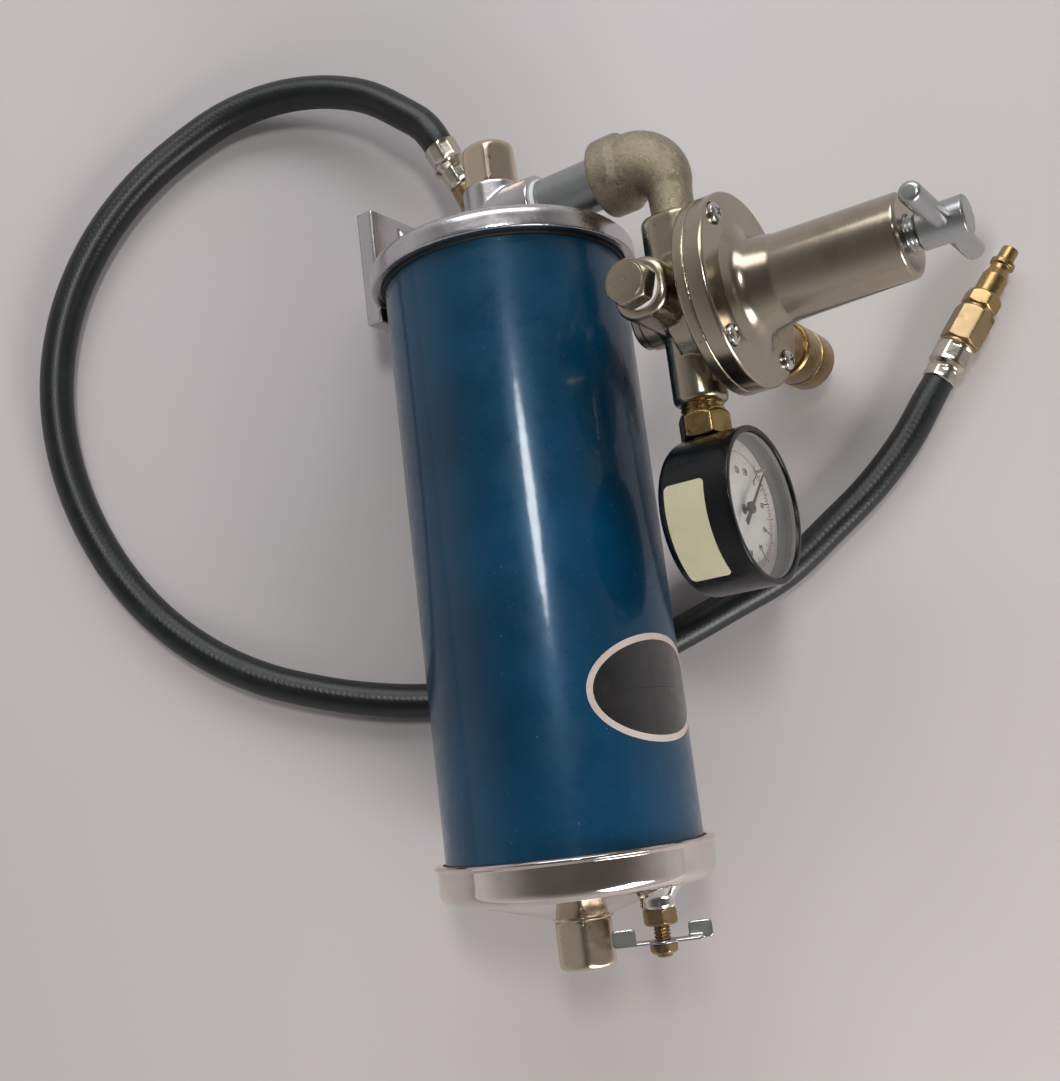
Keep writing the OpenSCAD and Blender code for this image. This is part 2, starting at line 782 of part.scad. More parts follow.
module drain_wing() {
  half = wing_l / 2;
  tab_l = 9;
  tab_h = 6.5;
  tab_round = 1.5;
  strip_w = 6;
  strip_in = 3;
  eye_d = 11;
  color("#b9bcc0") translate([drain_x, 0, wing_z - wing_t]) rotate(wing_turn) difference() {
    union() {
      translate([strip_in - half, -strip_w / 2, 0]) cube([wing_l - 2 * strip_in, strip_w, wing_t]);
      cylinder(d = eye_d, h = wing_t);
      for (s = [0, 180]) rotate(s) translate([half - tab_l, strip_w / 2 - wing_t, 0]) rotate([90, 0, 0])
        translate([tab_l / 2, tab_h / 2, -wing_t]) linear_extrude(wing_t)
          rounded_rect(tab_l, tab_h, tab_round);
    }
    translate([0, 0, -cut]) cylinder(d = drain_stem_d + 2 * thread_gap, h = wing_t + 2 * cut);
  }
}

module drain_screw() {
  color("#7d5f38") translate([drain_x, 0, wing_z - wing_t - drain_nut_h]) difference() {
    rotate(drain_nut_turn) hex_nut(drain_nut_af, drain_nut_h, low = 0.1, high = 0);
    translate([0, 0, drain_nut_wall]) cylinder(d = drain_stem_d + 2 * thread_gap, h = drain_nut_h);
  }
}

// ---- Outlet pipework ----

module pipe_nipple() {
  from = boss_d / 2 - cut;
  color("#8f989b") at_x(from, outlet_abs) ring(nipple_d, nipple_bore, band_x + nipple_in - from);
}

module thread_tape() {
  color("#eeeeea") {
    at_x(outlet_reach, outlet_abs) ring(nipple_d + 2 * tape_t, nipple_d, tape_w);
    at_y(-arm_reach - plug_tape, reg_z, port_x)
      ring(plug_thread_d + 2 * plug_tape_t, plug_thread_d, plug_tape);
  }
}

module street_elbow() {
  bend_x = port_x - elbow_bend;
  bend_z = outlet_abs - elbow_bend;
  leg_end = reg_z + arm_reach - port_depth;
  leg_top = reg_z + arm_reach + leg_shoulder;
  color("#8d8778") difference() {
    union() {
      at_x(band_x, outlet_abs) cylinder(d = band_d, h = band_l);
      at_x(band_x, outlet_abs) cylinder(d = elbow_d, h = bend_x - band_x);
      swept_tube(bend_points, bend_radii, 24);
      translate([port_x, 0, leg_top]) cylinder(d1 = leg_d, d2 = elbow_end_d, h = bend_z - leg_top);
      translate([port_x, 0, leg_end]) cylinder(d = leg_d, h = leg_top - leg_end);
    }
    at_x(band_x - cut, outlet_abs) cylinder(d = nipple_d + 2 * thread_gap, h = nipple_in + cut);
    at_x(band_x, outlet_abs) cylinder(d = elbow_bore, h = bend_x - band_x);
    translate([bend_x, 0, bend_z]) rotate([90, 0, 0]) rotate_extrude(angle = 90)
      translate([elbow_bend, 0]) circle(d = elbow_bore);
    translate([port_x, 0, leg_end - cut]) cylinder(d = elbow_bore, h = bend_z - leg_end + cut);
  }
}

// ---- Regulator ----

module regulator_body() {
  color("#9a9284") difference() {
    union() {
      at_x(body_front, reg_z) cylinder(d = flange_d, h = body_flange_t);
      at_x(body_front - neck_l, reg_z) cylinder(d1 = core_d, d2 = neck_d, h = neck_l);
      arm(0, arm_w);
      arm(90, side_arm_w);
      arm(180, low_arm_w);
      arm(270, side_arm_w);
      at_x(port_x, reg_z) cylinder(d = core_d, h = body_front - port_x);
      at_x(body_back - cap_boss_l, reg_z) cylinder(d = cap_boss_d, h = 2 * cap_boss_l);
    }
    at_x(seat_x - diaphragm_t, reg_z) cylinder(d = diaphragm_d, h = diaphragm_t + cut);
    at_x(seat_x - diaphragm_t - chamber_t, reg_z) cylinder(d = chamber_d, h = chamber_t + cut);
    at_x(poppet_seat, reg_z) cylinder(d = orifice_d, h = orifice_l);
    at_x(poppet_seat, reg_z) cylinder(d = stem_d + 2 * slide_gap, h = seat_x - poppet_seat);
    at_x(body_back - cap_depth, reg_z) cylinder(d = poppet_chamber, h = poppet_seat - body_back + cap_depth);
    translate([port_x, 0, reg_z + arm_reach - port_depth])
      cylinder(d = leg_d + 2 * thread_gap, h = port_depth + cut);
    translate([port_x, 0, reg_z]) cylinder(d = port_bore, h = arm_reach);
    translate([port_x, 0, reg_bottom - cut]) cylinder(d = bushing_d + 2 * thread_gap, h = port_depth + cut);
    for (a = [90, 180, 270]) at_x(port_x, reg_z) rotate(a) {
      translate([arm_reach - port_depth + cross_bore_in, 0, 0]) rotate([0, -90, 0])
        cylinder(d = cross_bore, h = cross_bore_l);
      translate([pilot_r, 0, 0]) cylinder(d = pilot_bore, h = body_front - port_x);
    }
    at_y(-arm_reach - cut, reg_z, port_x) cylinder(d = plug_thread_d + 2 * thread_gap, h = port_depth + cut);
    at_y(arm_reach - port_depth, coupler_z, port_x)
      cylinder(d = coupler_stem_d + 2 * thread_gap, h = port_depth + cut);
    for (a = screw_angles) at_x(body_front - cut, reg_z + screw_circle * cos(a), screw_circle * sin(a))
      cylinder(d = flange_screw_d + 2 * thread_gap, h = body_flange_t + 2 * cut);
  }
}

// One of the body's arms with its end softened, from straight up toward the coupler
module arm(a, w) {
  translate([port_x, 0, reg_z]) rotate([-a, 0, 0]) intersection() {
    linear_extrude(arm_reach) rounded_rect(w - arm_waist, w, arm_round);
    rotate_extrude() translate([0, arm_reach]) mirror([0, 1])
      rounded_half(w / 2 + arm_corner, arm_reach, arm_edge);
  }
}

module bonnet() {
  chamber_l = bonnet_l + bonnet_flange_t - end_wall;
  fillet_r = bonnet_d / 2 + foot_fillet;
  color("#a89c8b") difference() {
    union() {
      at_x(seat_x, reg_z) rotate_extrude() {
        translate([0, bonnet_flange_t]) mirror([0, 1])
          rounded_half(flange_d / 2, bonnet_flange_t, bonnet_edge);
        translate([0, bonnet_flange_t - cut]) difference() {
          square([fillet_r, foot_fillet + cut]);
          translate([fillet_r, foot_fillet + cut]) circle(foot_fillet);
        }
      }
      at_x(flange_x - cut, reg_z)
        cylinder(d1 = bonnet_d, d2 = bonnet_end_d, h = bonnet_l - bonnet_edge + cut);
      at_x(bonnet_end - bonnet_edge, reg_z)
        cylinder(d1 = bonnet_end_d, d2 = bonnet_end_d - 2 * bonnet_edge, h = bonnet_edge);
    }
    at_x(seat_x - cut, reg_z) cylinder(d = plate_d + 2 * plate_room, h = plate_room_l + cut);
    at_x(seat_x, reg_z)
      cylinder(d1 = bonnet_d - 2 * bonnet_wall, d2 = bonnet_end_d - 2 * bonnet_wall, h = chamber_l);
    at_x(seat_x, reg_z) cylinder(d = screw_d + 2 * slide_gap, h = bonnet_l + bonnet_flange_t + cut);
    for (a = screw_angles) at_screw(a) {
      translate([0, 0, -bonnet_flange_t - cut]) cylinder(d = screw_hole_d, h = bonnet_flange_t + 2 * cut);
      translate([0, 0, -screw_seat]) cylinder(d = screw_seat_d, h = screw_seat + cut);
    }
  }
}

module at_screw(a) {
  translate([flange_x, screw_circle * sin(a), reg_z + screw_circle * cos(a)]) rotate([0, 90, 0]) children();
}

module flange_screws() {
  shank = bonnet_flange_t + body_flange_t - screw_seat;
  color("#b0aba2") for (a = screw_angles) at_screw(a) difference() {
    union() {
      translate([0, 0, -shank]) cylinder(d = flange_screw_d, h = shank);
      intersection() {
        translate([0, 0, -screw_seat]) cylinder(d = screw_head_d, h = screw_head_h);
        translate([0, 0, screw_head_h - screw_seat - screw_dome_d / 2]) sphere(d = screw_dome_d);
      }
    }
    rotate(screw_turn) for (s = [0, 90]) rotate(s) translate([-recess_l / 2, -recess_w / 2, recess_z])
      cube([recess_l, recess_w, screw_head_h]);
  }
}

module diaphragm() {
  color("#2a2a2a") at_x(seat_x - diaphragm_t, reg_z) cylinder(d = diaphragm_d, h = diaphragm_t);
}

module diaphragm_plate() {
  color("#b7b9bd") at_x(seat_x, reg_z) {
    cylinder(d = plate_d, h = disc_t);
    cylinder(d = plate_boss_d, h = disc_t + plate_boss_h);
  }
}

module range_spring() {
  outer = button_d - 2 * spring_room;
  back = seat_x + disc_t;
  color("#6f7377") at_x(back, reg_z) ring(outer, outer - 2 * spring_t, button_back - button_t - back);
}

module spring_button() {
  color("#b7b9bd") at_x(button_back - button_t, reg_z) {
    cylinder(d = button_d, h = button_t);
    translate([0, 0, -pilot_l]) cylinder(d = plate_boss_d, h = pilot_l + cut);
  }
}

module adjusting_screw() {
  color("#9fa2a6") difference() {
    union() {
      at_x(button_back, reg_z) cylinder(d = screw_d, h = hub_x - button_back + cut);
      at_x(hub_x, reg_z) cylinder(d = hub_d, h = hub_l - hub_edge);
      at_x(hub_x + hub_l - hub_edge, reg_z) cylinder(d1 = hub_d, d2 = hub_d - 2 * hub_edge, h = hub_edge);
    }
    bar_axis() translate([0, 0, -hub_d]) cylinder(d = bar_d + 2 * thread_gap, h = 2 * hub_d);
  }
}

module bar_axis() {
  at_x(hub_x + bar_from_hub, reg_z) rotate([90, 0, 0]) children();
}

module cross_bar() {
  end = bar_l / 2 - bar_d / 2;
  color("#a9acb0") bar_axis() {
    translate([0, 0, -end]) cylinder(d = bar_d, h = 2 * end);
    for (s = [-1, 1]) translate([0, 0, s * end]) sphere(d = bar_d);
  }
}

module valve_poppet() {
  head_x = poppet_seat - poppet_lift;
  color("#a8803c") {
    at_x(head_x - poppet_l, reg_z) cylinder(d = poppet_d, h = poppet_l);
    at_x(head_x - cut, reg_z) cylinder(d = stem_d, h = seat_x - diaphragm_t - head_x + cut - touch_gap);
    at_x(body_back - tail_in, reg_z) cylinder(d = tail_d, h = head_x - body_back);
  }
}

module valve_spring() {
  back = body_back + cap_in;
  front = poppet_seat - poppet_lift - poppet_l;
  color("#6f7377") at_x(back, reg_z) ring(poppet_d, tail_spring_d, front - back);
}

module valve_cap() {
  head_back = body_back - cap_boss_l - cap_head_h;
  color("#7d7668") difference() {
    union() {
      at_x(head_back, reg_z) cylinder(d = cap_boss_d - 2 * cap_step, h = cap_head_h);
      at_x(body_back - cap_depth, reg_z)
        cylinder(d = poppet_chamber - 2 * thread_gap, h = cap_depth + cap_in);
    }
    at_x(body_back - tail_room, reg_z) cylinder(d = tail_d + 2 * slide_gap, h = tail_room + cap_in + cut);
    at_x(head_back - cut, reg_z) hexagon(cap_key_af, cap_key_depth + cut);
  }
}

module port_plug() {
  color("#9a9486") {
    translate([port_x, -arm_reach - plug_tape, reg_z]) rotate([90, 0, 0]) rotate(plug_turned)
      hex_nut(plug_af, plug_h, low = 0, high = 0.12);
    at_y(-arm_reach - plug_tape, reg_z, port_x)
      cylinder(d = plug_thread_d, h = plug_tape + port_depth - port_free);
  }
}

// ---- Gauge ----

module gauge_bushing() {
  color("#a8803c") difference() {
    union() {
      translate([port_x, 0, bushing_z]) rotate(bushing_turn) hex_nut(bushing_af, bushing_hex_h, high = 0.1);
      translate([port_x, 0, bushing_z + bushing_hex_h])
        cylinder(d = bushing_d, h = bushing_thread_h + port_depth - port_free);
    }
    translate([port_x, 0, bushing_z - cut]) cylinder(d = gauge_stem_d + 2 * thread_gap, h = stem_in + cut);
    translate([port_x, 0, bushing_z])
      cylinder(d = bushing_bore, h = bushing_hex_h + bushing_thread_h + port_depth);
  }
}

module gauge_socket() {
  block_z = gauge_z + block_drop;
  stem_z = block_z + block_up;
  stem_end = bushing_z + stem_in - cut;
  color("#a8803c") difference() {
    union() {
      translate([port_x, 0, stem_z]) cylinder(d = gauge_stem_d, h = stem_end - stem_z);
      translate([port_x - block_t / 2, -block_w / 2, block_z]) cube([block_t, block_w, block_t]);
      translate([bourdon_back, -horn_y, block_z + horn_up]) cube([bourdon_w, horn_w, horn_h]);
    }
    translate([port_x, 0, stem_z - port_free]) cylinder(d = socket_bore, h = gauge_r);
    bourdon_shape();
  }
}

module gauge_case() {
  color("#17181a") difference() {
    at_x(gauge_back, gauge_z) rotate_extrude() rounded_half(gauge_r, gauge_depth, case_edge);
    at_x(gauge_back + case_wall, gauge_z) rotate_extrude() {
      rounded_half(gauge_r - case_wall, gauge_depth - case_wall - case_lip, case_edge - case_wall);
      square([gauge_r - gauge_rim, gauge_depth]);
    }
    translate([port_x, 0, gauge_z]) cylinder(d = gauge_stem_d + 2 * thread_gap, h = gauge_r + cut);
    translate([port_x, 0, bushing_z]) cylinder(d = case_flat_d, h = case_flat_h);
  }
}

module gauge_dial() {
  color("#ecebe6") at_x(dial_x - dial_t, gauge_z)
    ring(2 * (gauge_r - case_wall - dial_gap), dial_bore, dial_t);
}

module gauge_pointer() {
  color("#8b8a8a") {
    at_x(gear_x - movement_back, gauge_z)
      cylinder(d = spindle_d, h = dial_x + spindle_out - gear_x + movement_back);
    at_x(gear_x, gauge_z) cylinder(r = pinion_r, h = gear_t);
    at_x(dial_x + pointer_hub_gap, gauge_z) cylinder(d = pointer_hub_d, h = pointer_hub_h);
    translate([dial_x + pointer_gap, 0, gauge_z]) rotate([-pointer_zero, 0, 0]) rotate([90, 0, 90])
      linear_extrude(pointer_t) polygon([[-0.9, -pointer_tail], [0.9, -pointer_tail], [1.1, 0],
        [0.35, pointer_l], [-0.35, pointer_l], [-1.1, 0]]);
  }
}

// The sector's edge meets the pinion at one end of its arc when the pointer is at zero
module sector_gear() {
  span = pointer_sweep / sector_ratio + sector_spare;
  color("#b08d45") {
    at_x(gear_x, gauge_z - sector_arm) {
      rotate(sector_start - span) rotate_extrude(angle = span) square([sector_r, gear_t]);
      cylinder(d = pivot_d, h = gear_t);
    }
    at_x(gear_x - movement_back, gauge_z - sector_arm)
      cylinder(d = spindle_d, h = movement_back + movement_front + movement_t);
  }
}

module gauge_movement() {
  color("#b08d45") for (x = [gear_x - movement_back, gear_x + movement_front]) at_x(x, gauge_z) difference() {
    translate([-block_drop, -movement_w / 2, 0])
      cube([block_drop + sector_arm + movement_over, movement_w, movement_t]);
    for (z = [0, sector_arm]) translate([z, 0, -cut])
      cylinder(d = spindle_d + 2 * slide_gap, h = movement_t + 2 * cut);
  }
}

module bourdon_shape() {
  at_x(bourdon_back, gauge_z) rotate(bourdon_start) rotate_extrude(angle = bourdon_sweep)
    translate([gauge_r - bourdon_in, 0]) square([bourdon_t, bourdon_w]);
}

module bourdon_tube() { color("#b08d45") bourdon_shape(); }

module gauge_lens() {
  color("#dfe6ea", 0.3) at_x(gauge_front - lens_depth, gauge_z)
    cylinder(r = gauge_r - gauge_rim - thread_gap, h = lens_t);
}

module gauge_sticker() {
  color("#d9d6a8") at_x(gauge_back + sticker_x, gauge_z) rotate(sticker_from)
    rotate_extrude(angle = sticker_sweep) translate([gauge_r, 0]) square([sticker_t, sticker_w]);
}

// ---- Coupler ----

module coupler_nipple() {
  from = arm_reach - port_depth + port_free;
  color("#a8803c") at_y(from, coupler_z, port_x)
    ring(coupler_stem_d, nipple_hole, coupler_back + nipple_seat - from);
}

module coupler_body() {
  room_end = coupler_back + valve_room + valve_room_l - cut;
  color("#a8803c") difference() {
    union() {
      at_y(coupler_back, coupler_z, port_x) hex_nut(coupler_hex, coupler_hex_l);
      at_y(coupler_back + coupler_hex_l, coupler_z, port_x)
        cylinder(r = sleeve_in - slide_gap, h = shoulder_y - coupler_back - coupler_hex_l);
      at_y(shoulder_y - cut, coupler_z, port_x) cylinder(r = barrel_r, h = nose_y - shoulder_y + cut);
      at_y(sleeve_end, coupler_z, port_x) cylinder(d = nose_d, h = nose_lip - nose_edge);
      at_y(nose_y - nose_edge, coupler_z, port_x)
        cylinder(d1 = nose_d, d2 = nose_d - 2 * nose_edge, h = nose_edge);
    }
    at_y(coupler_back - cut, coupler_z, port_x)
      cylinder(d = coupler_stem_d + 2 * thread_gap, h = nipple_port + cut);
    at_y(coupler_back, coupler_z, port_x) cylinder(d = coupler_hole, h = nose_y - coupler_back);
    at_y(coupler_back + valve_room, coupler_z, port_x) cylinder(d = valve_d, h = valve_room_l);
    at_y(room_end, coupler_z, port_x) cylinder(d = coupler_bore, h = nose_y - room_end + cut);
    at_y(nose_y - mouth_l, coupler_z, port_x) cylinder(d = mouth_d, h = mouth_l + cut);
    for (a = [0 : 90 : 270]) at_y(ball_y, coupler_z, port_x) rotate(a) rotate([0, 90, 0])
      cylinder(d = ball_d + 2 * slide_gap, h = barrel_r + cut);
  }
}

module coupler_sleeve() {
  color("#a8803c") difference() {
    union() {
      at_y(sleeve_start, coupler_z, port_x) cylinder(d = sleeve_d, h = sleeve_l - sleeve_edge);
      at_y(sleeve_end - sleeve_edge, coupler_z, port_x)
        cylinder(d1 = sleeve_d, d2 = sleeve_d - 2 * sleeve_edge, h = sleeve_edge);
    }
    at_y(sleeve_start - cut, coupler_z, port_x) cylinder(r = barrel_r + slide_gap, h = sleeve_l + 2 * cut);
    at_y(sleeve_start - cut, coupler_z, port_x) cylinder(r = sleeve_in, h = land_y - sleeve_start + cut);
    at_y(ball_y + ball_room, coupler_z, port_x)
      cylinder(d = nose_d - 2 * sleeve_lip, h = sleeve_end - ball_y);
    at_y(sleeve_end - groove_y, coupler_z, port_x)
      ring(sleeve_d + 2 * cut, sleeve_d - 2 * groove_t, groove_w);
  }
}

module coupler_balls() {
  color("#b7b9bd") for (a = [0 : 90 : 270]) at_y(ball_y, coupler_z, port_x) rotate(a)
    translate([barrel_r - ball_d / 2, 0, 0]) sphere(d = ball_d);
}

module sleeve_spring() {
  color("#6f7377") at_y(shoulder_y, coupler_z, port_x)
    ring(2 * (sleeve_in - coil_gap), 2 * (barrel_r + coil_gap), land_y - shoulder_y);
}

module coupler_valve() {
  color("#a8803c") at_y(coupler_back + valve_room + valve_spring_l, coupler_z, port_x) intersection() {
    cylinder(d = valve_d - 2 * slide_gap, h = valve_l);
    translate([-valve_flat / 2, -valve_d / 2, 0]) cube([valve_flat, valve_d, valve_l]);
  }
}

module coupler_valve_spring() {
  color("#6f7377") at_y(coupler_back + valve_room, coupler_z, port_x)
    ring(valve_spring_d, nipple_hole, valve_spring_l);
}

// ---- Whip hose ----

module at_knee(l) {
  translate(elbow_knee) rotate([0, hose_lean, hose_lean_to]) translate([0, 0, l]) children();
}

module inlet_elbow() {
  foot = head_top - head_t;
  color("#a8803c") difference() {
    union() {
      translate([inlet_x, inlet_y, foot]) cylinder(d = inlet_thread_d, h = inlet_pad + head_t + cut);
      translate([inlet_x, inlet_y, head_top + inlet_pad]) cylinder(d = elbow_body_d, h = knee_h - inlet_pad);
      translate(elbow_knee) sphere(d = knee_d);
      at_knee(0) cylinder(d = elbow_body_d, h = fitting_l);
    }
    translate([inlet_x, inlet_y, foot - cut]) cylinder(d = inlet_bore, h = knee_h + head_t + cut);
    translate(elbow_knee) sphere(d = knee_bore);
    at_knee(0) cylinder(d = inlet_bore, h = fitting_l + cut);
  }
}

// Crimped ferrule from its narrow end
module inlet_ferrule() {
  r = hose_r + crimp;
  waist = r - groove_depth;
  l = ferrule_l;
  color("#c9c6bd") at_knee(fitting_l) difference() {
    rotate_extrude() polygon([[0, 0], [narrow_r, 0], [narrow_r + groove_depth, groove_depth],
      [taper_r, l * 0.4], [r, l * 0.5], [r, l * 0.62], [waist, l * 0.66], [waist, l * 0.74], [r, l * 0.78],
      [r, l - ferrule_edge], [r - ferrule_edge, l], [0, l]]);
    translate([0, 0, -cut]) cylinder(d = passage_d, h = l + 2 * cut);
  }
}

function unit(v) = v / norm(v);

// Tangent of a route at one of its points
function along(p, i) = unit(p[min(i + 1, len(p) - 1)] - p[max(i - 1, 0)]);

// One ring of the tube's corners round a point of its route
function hose_ring(p, i, r, n) =
  let (t = along(p, i), side = unit(cross(t, [0, t[1] == 0 ? 1 : 0, t[1] == 0 ? 0 : 1])), up = cross(side, t))
  [for (k = [0 : n - 1]) p[i] + (is_list(r) ? r[i] : r) * (cos(360 / n * k) * up + sin(360 / n * k) * side)];

module swept_tube(p, r, n) {
  m = len(p);
  points = [for (i = [0 : m - 1]) each hose_ring(p, i, r, n)];
  faces = concat(
    [[for (k = [0 : n - 1]) k]],
    [[for (k = [n - 1 : -1 : 0]) (m - 1) * n + k]],
    [for (i = [0 : m - 2], k = [0 : n - 1]) each
      [[i * n + k, (i + 1) * n + k, i * n + (k + 1) % n],
       [i * n + (k + 1) % n, (i + 1) * n + k, (i + 1) * n + (k + 1) % n]]]);
  polyhedron(points, faces);
}

module hose() { color("#1c1f22") swept_tube(HOSE, hose_r, 10); }

module at_plug(l) {
  translate(plug_at) rotate([0, 90, plug_turn]) rotate(plug_roll) translate([0, 0, l]) children();
}

module plug_ferrule() {
  r = hose_r + crimp;
  waist = r - groove_depth;
  wide = ferrule_d / 2;
  l = plug_ferrule_l;
  color("#c9c6bd") at_plug(0) difference() {
    rotate_extrude() polygon([[0, 0], [r - ferrule_edge, 0], [r, ferrule_edge], [r, l * 0.28],
      [waist, l * 0.32], [waist, l * 0.38], [wide, l * 0.5], [wide, l - 2 * ferrule_edge],
      [wide - 2 * ferrule_edge, l], [0, l]]);
    translate([0, 0, -cut]) cylinder(d = passage_d, h = l + 2 * cut);
  }
}

module hose_nut() {
  color("#8f6f3a") at_plug(plug_ferrule_l) {
    cylinder(d = hose_nut_af - 2 * nut_corner, h = nut_collar_h);
    translate([0, 0, nut_collar_h / 2]) hex_nut(hose_nut_af, hose_nut_l - nut_collar_h, high = 0.1);
    cylinder(d = nut_core_d, h = hose_nut_l);
  }
}

module hose_plug() {
  tip = plug_tip_d / 2;
  color("#a8803c") at_plug(plug_ferrule_l + hose_nut_l) {
    hex_nut(plug_hex_af, plug_hex_l, low = 0.08, high = 0.12);
    rotate_extrude() polygon([[0, 0], [plug_body_d / 2, 0], [plug_body_d / 2, plug_neck],
      [plug_neck_r, plug_neck + 3], [plug_neck_r, plug_ring - 1], [plug_ring_r, plug_ring],
      [plug_ring_r, plug_ring + 1], [tip, plug_ring + 2], [tip, plug_l - plug_edge],
      [tip - plug_edge, plug_l], [0, plug_l]]);
  }
}

laid() tube();
laid() pan();
laid() pan_gasket();
laid() head();
laid() head_gasket();
laid() tie_rod();
laid() top_cap_nut();
laid() bottom_washer();
laid() bottom_cap_nut();
laid() label_plate();
laid() filter_element();
laid() element_top_plate();
laid() element_bottom_plate();
laid() spacer_tube();
laid() baffle();
laid() drain_body();
laid() drain_seal();
laid() drain_stem();
laid() drain_wing();
laid() drain_screw();
laid() pipe_nipple();
laid() thread_tape();
laid() street_elbow();
laid() regulator_body();
laid() bonnet();
laid() diaphragm();
laid() diaphragm_plate();
laid() flange_screws();
laid() range_spring();
laid() spring_button();
laid() adjusting_screw();
laid() cross_bar();
laid() valve_poppet();
laid() valve_spring();
laid() valve_cap();
laid() port_plug();
laid() gauge_bushing();
laid() gauge_socket();
laid() gauge_case();
laid() gauge_dial();
laid() gauge_pointer();
laid() bourdon_tube();
laid() sector_gear();
laid() gauge_movement();
laid() gauge_lens();
laid() gauge_sticker();
laid() coupler_nipple();
laid() coupler_body();
laid() coupler_sleeve();
laid() coupler_balls();
laid() sleeve_spring();
laid() coupler_valve();
laid() coupler_valve_spring();
laid() inlet_elbow();
laid() inlet_ferrule();
hose();
plug_ferrule();
hose_nut();
hose_plug();
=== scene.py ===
"""Looks of the compressed-air control unit: its camera, hose, detailed pieces, materials, light and floor."""
import json
import math

import bmesh
import bpy
from mathutils import Matrix, Vector, noise


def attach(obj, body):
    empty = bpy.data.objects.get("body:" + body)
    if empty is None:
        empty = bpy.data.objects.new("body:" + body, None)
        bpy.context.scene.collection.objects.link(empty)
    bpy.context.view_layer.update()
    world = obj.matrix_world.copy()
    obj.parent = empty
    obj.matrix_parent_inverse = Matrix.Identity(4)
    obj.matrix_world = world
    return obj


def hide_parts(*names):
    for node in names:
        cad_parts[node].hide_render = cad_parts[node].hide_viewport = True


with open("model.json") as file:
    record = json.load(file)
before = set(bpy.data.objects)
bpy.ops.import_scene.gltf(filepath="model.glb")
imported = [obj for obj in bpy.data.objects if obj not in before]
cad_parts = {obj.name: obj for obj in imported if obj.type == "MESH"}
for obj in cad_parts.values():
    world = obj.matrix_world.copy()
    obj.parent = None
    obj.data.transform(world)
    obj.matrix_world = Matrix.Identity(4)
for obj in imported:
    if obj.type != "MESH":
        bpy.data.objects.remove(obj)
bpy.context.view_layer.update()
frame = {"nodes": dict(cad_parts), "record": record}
SCENE = bpy.context.scene
MM = 0.001

# Sizes of the part, in millimetres. The unit is drawn standing: Z along the canister, X toward the regulator,
# Y toward the coupler.
TUBE_R, TUBE_IN, TUBE_H, TUBE_SEAT = 50.8, 48.8, 236.6, 4
SKIRT_T, SKIRT_H, SKIRT_ROUND = 5.7, 10.5, 4.5
SKIRT_R, HEAD_TOP = TUBE_R + SKIRT_T, TUBE_H + SKIRT_H
SEAL_IN, LIP_R = TUBE_IN - 2.5, TUBE_R + 1.2
LABEL_Z, LABEL_TURN, LABEL_W, LABEL_H, LABEL_EDGE = 56.8, -5.5, 67, 41, 2.5
BOSS_D, BOSS_TOP = 26, HEAD_TOP + 31.6
CAP_AF, CAP_TOP_H, CAP_BOTTOM_H, CAP_TURN = 22, 20.5, 18.3, -2
PAN_H, PAN_SIDE, PAN_ROUND, PAN_R = 25, 15.5, 13, TUBE_R + 3.4
WASHER_T = 1.5
BRACKET_REACH, BRACKET_T, BRACKET_W, BRACKET_H, BRACKET_Z = 59.5, 8.5, 44, 52, TUBE_H - 6
HOLE_D, HOLE_PITCH = 7, 26
OUTLET_Z, OUTLET_REACH = HEAD_TOP + 15.6, 25
NIPPLE_D, BAND_X, BAND_D, BAND_L = 21.3, 55, 32, 12
ELBOW_D, ELBOW_END_D, ELBOW_BEND, LEG_D = 28.5, 18, 15, 17.1
REG_Z, PORT_X = OUTLET_Z - 65.2, 83
BODY_FRONT, FLANGE_D = PORT_X + 14.5, 76
SEAT_X = BODY_FRONT + 5
FLANGE_X = SEAT_X + 7.5
FLANGE_SCREW_R, FLANGE_SCREW_ANGLES = 33, (45, 135, 225, 315)
BONNET_D, BONNET_END_D, BONNET_END = 34, 31, FLANGE_X + 61.5
ARM_REACH, ARM_ROUND = 38, 2.5
SCREW_D, SCREW_PITCH, HUB_X, HUB_D, HUB_L = 12.7, 1.5, BONNET_END + 3.5, 14.8, 17
BAR_D, BAR_L, BAR_X = 7.9, 72, HUB_X + 8.3
BUSHING_AF, BUSHING_D, BUSHING_HEX_H = 18, 16.5, 10
BUSHING_Z = REG_Z - ARM_REACH - 3.5 - BUSHING_HEX_H
GAUGE_R, GAUGE_DEPTH, GAUGE_BACK, GAUGE_RIM = 30, 30, PORT_X - 10.5, 2.6
GAUGE_Z, GAUGE_FRONT = BUSHING_Z - GAUGE_R + 0.4, GAUGE_BACK + GAUGE_DEPTH
DIAL_X, DIAL_FACE, DIAL_FIRST, DIAL_SWEEP = GAUGE_FRONT - 9, 0.2, -135, 270
STICKER_FROM, STICKER_HALF = 253, 37
COUPLER_Z, NOSE_Y, NOSE_D, NOSE_LIP = REG_Z + 3, 121, 20.4, 3
SLEEVE_D, SLEEVE_L, MOUTH_D, MOUTH_L = 26, 31, 12.4, 12
SLEEVE_END = NOSE_Y - NOSE_LIP
SLEEVE_START = SLEEVE_END - SLEEVE_L
COUPLER_BACK, COUPLER_HEX, COUPLER_HEX_L = 58, 22, 12
DRAIN_X, DRAIN_AF, DRAIN_TOP = 34.5, 12, -PAN_SIDE - 8.5
DRAIN_END = DRAIN_TOP - 6
WING_Z, WING_T, WING_L = DRAIN_END - 5.5, 1.2, 38
INLET_X, INLET_Y, INLET_D, KNEE_H = -17.8, 11.2, 12.5, 35.5
HOSE_D, FERRULE_L, PLUG_FERRULE_L, NUT_L = 15, 22.5, 18.5, 20
PLUG_UP = 9.8


def shift(x=0, y=0, z=0):
    return Matrix.Translation((x, y, z))


